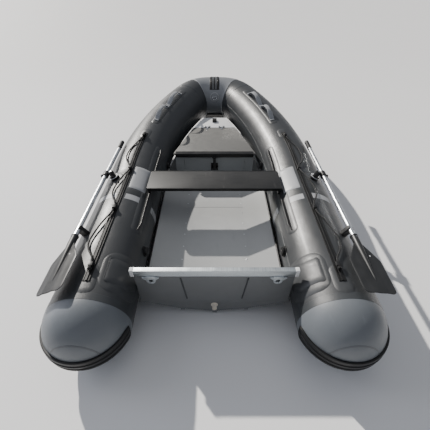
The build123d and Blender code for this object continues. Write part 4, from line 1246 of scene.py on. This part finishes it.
def add_oarlock(side_name, side):
    foot, axis = hinge_of("oarlock_swivel_" + side_name)
    up = axis if axis.z > 0 else -axis
    shaft, _ = hinge_of("oar_roll_" + side_name)
    out = Vector((up.z * side, 0, -abs(up.x)))
    body = "oarlock_" + side_name
    base_top = tube_radius + 0.020
    softened("oar_collar_" + side_name, "plastic", body, 0.0014, 3)
    drum = [(0.0004, 0.0150), (0.002, 0.0178), (0.026, 0.0184), (0.034, 0.0184), (0.043, 0.0172)]
    drum += [(0.0455, 0.0130), (0.0465, 0.0070)]
    bm = turned([(base_top + along, radius) for along, radius in drum], foot, up, 72, 18, 0.07)
    bolt = [(0.0, 0.006), (0.0255, 0.006)]
    merge(bm, turned(bolt, shaft - out * 0.042, out, 20))
    make_piece("oarlock_drum_" + side_name, bm, "plastic", body, ["oarlock_swivel_" + side_name])
    cap = [(base_top + 0.0462, 0.0105), (base_top + 0.0478, 0.0100), (base_top + 0.0486, 0.0060)]
    make_piece("oarlock_cap_" + side_name, turned(cap, foot, up, 32), "steel", body)
    ring = [(-0.004, 0.0337), (-0.0008, 0.0345), (0.0014, 0.0325), (0.0014, 0.0265), (-0.004, 0.0265)]
    ring = [(base_top + along, radius) for along, radius in ring]
    make_piece("oarlock_ring_" + side_name, turned(ring, foot, up, 48, closed=True), "steel")
    pad = flat_patch(disc(oarlock_s, 0.062, 48), 0.0012, 0.002, (0.02, 0.016))
    make_piece("oarlock_pad_" + side_name, wrap(pad, oarlock_angle, side), "patch")
    knob = [(0.0, 0.0085), (0.001, 0.0120), (0.003, 0.0130), (0.012, 0.0130), (0.0148, 0.0118), (0.016, 0.0080)]
    bm = turned(knob, shaft + out * 0.0223, out, 60, 6, 0.16)
    make_piece(f"collar_knob_{side_name}_turned", bm, "plastic", body, ["collar_knob_" + side_name])
    softened("oar_clip_" + side_name, "plastic", "root", 0.0018, 3)


def add_oar(side_name, side):
    shaft, _ = hinge_of("oar_roll_" + side_name)
    body = "oar_" + side_name
    dress("oar_shaft_" + side_name, "aluminium")
    dress("snap_button_" + side_name, "steel")

    start = Vector((shaft.x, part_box("oar_grip_" + side_name)[0].y, shaft.z))
    profile = [(0.0, 0.0150), (0.001, 0.0168), (0.006, 0.0170)]
    for rib in range(9):
        along = 0.012 + 0.009 * rib
        profile += [(along, 0.0168), (along + 0.0015, 0.0156)]
        profile += [(along + 0.0045, 0.0156), (along + 0.006, 0.0168)]
    profile += [(0.100, 0.0170), (0.110, 0.0170), (0.1145, 0.0158), (0.1172, 0.0125), (0.118, 0.0070)]
    bm = turned(profile, start, (0, 1, 0), 36)
    make_piece(f"oar_grip_{side_name}_moulding", bm, "grip", body, ["oar_grip_" + side_name])
    sleeve = [(0.0, 0.0142), (0.0006, 0.0148), (0.0024, 0.0148), (0.003, 0.0142)]
    place = (shaft.x, shaft_joint_y, shaft.z)
    make_piece("oar_joint_ring_" + side_name, turned(sleeve, place, (0, 1, 0), 32), "plastic", body)

    roll = radians(blade_rolls[side_name])
    normal = Vector((sin(roll) * side, 0, cos(roll)))
    along = Vector((0, -1, 0))
    across = normal.cross(along)
    origin = Vector((shaft.x, ferrule_fore_y, shaft.z))
    corners = [(ferrule_length - 0.012, -0.020), (ferrule_length + 0.105, -blade_half_width)]
    corners += [(ferrule_length + blade_length, -0.0795)]
    corners += [(x, -y) for x, y in reversed(corners)]
    outline = rounded_outline(corners, [0.02, 0.05, 0.026, 0.026, 0.05, 0.02], 7)
    blade = slab(outline, 0.003, 0.0018)
    cut_grid(blade, 0.02, 0.012)
    for vert in blade.verts:
        x, y, z = vert.co
        edge = abs(y) / blade_half_width
        ridge = 0.0025 * exp(-(((abs(y) - 0.030) / 0.010) ** 2)) * min(1.0, max(0.0, (x - 0.10) / 0.05))
        z = z * (1.0 - 0.35 * edge) - 0.004 * edge ** 2 + ridge
        vert.co = origin + along * x + across * y + normal * z
    ferrule = [(0.0, 0.0165), (0.0006, 0.0205), (0.006, 0.0205), (0.0075, 0.0190)]
    spine = [(0.0, 0.0188), (0.04, 0.0172), (0.14, 0.0110), (0.21, 0.0062), (0.234, 0.0036), (0.238, 0.0010)]
    ferrule += [(ferrule_length + reach, radius) for reach, radius in spine]
    merge(blade, turned(ferrule, origin, along, 36))
    make_piece(f"oar_blade_{side_name}_moulding", blade, "blade", body, ["oar_blade_" + side_name],
               crease=35)
    collar = [(-0.0015, 0.0150), (-0.001, 0.0212), (0.0045, 0.0212), (0.005, 0.0200)]
    make_piece("oar_ferrule_ring_" + side_name, turned(collar, origin, along, 36), "plastic", body)
    rivet = [(0.0, 0.0045), (0.0012, 0.0042), (0.0018, 0.0015)]
    spot = origin + along * (ferrule_length + 0.078) + across * 0.032 + normal * 0.0022
    # The rivet head takes the white foredeck paint: a painted highlight for the glint on it.
    make_piece("blade_rivet_" + side_name, turned(rivet, spot, normal, 16), "foredeck", body)


# The whole boat

add_camera()
add_lifelines()
add_light()
add_floor(finishes["floor"])
for side_name, side in sides:
    add_air_tube("aft", side_name, side, 0.0, s_rise)
    add_air_tube("fore", side_name, side, s_rise, s_bow)
    add_stern_cone(side_name, side)
dress("tube_baffles", "tube")
add_seams()
add_bow()
add_rub_strake()
add_lifeline_rails()
add_panels()
add_handles()
add_seat_tracks()
add_transom_patches()
add_hull()
add_transom()
add_thwart()
add_locker()
add_valves()
for side_name, side in sides:
    add_oarlock(side_name, side)
    add_oar(side_name, side)
softened("oarlock_bases", "rubber", width=0.002, segments=3)
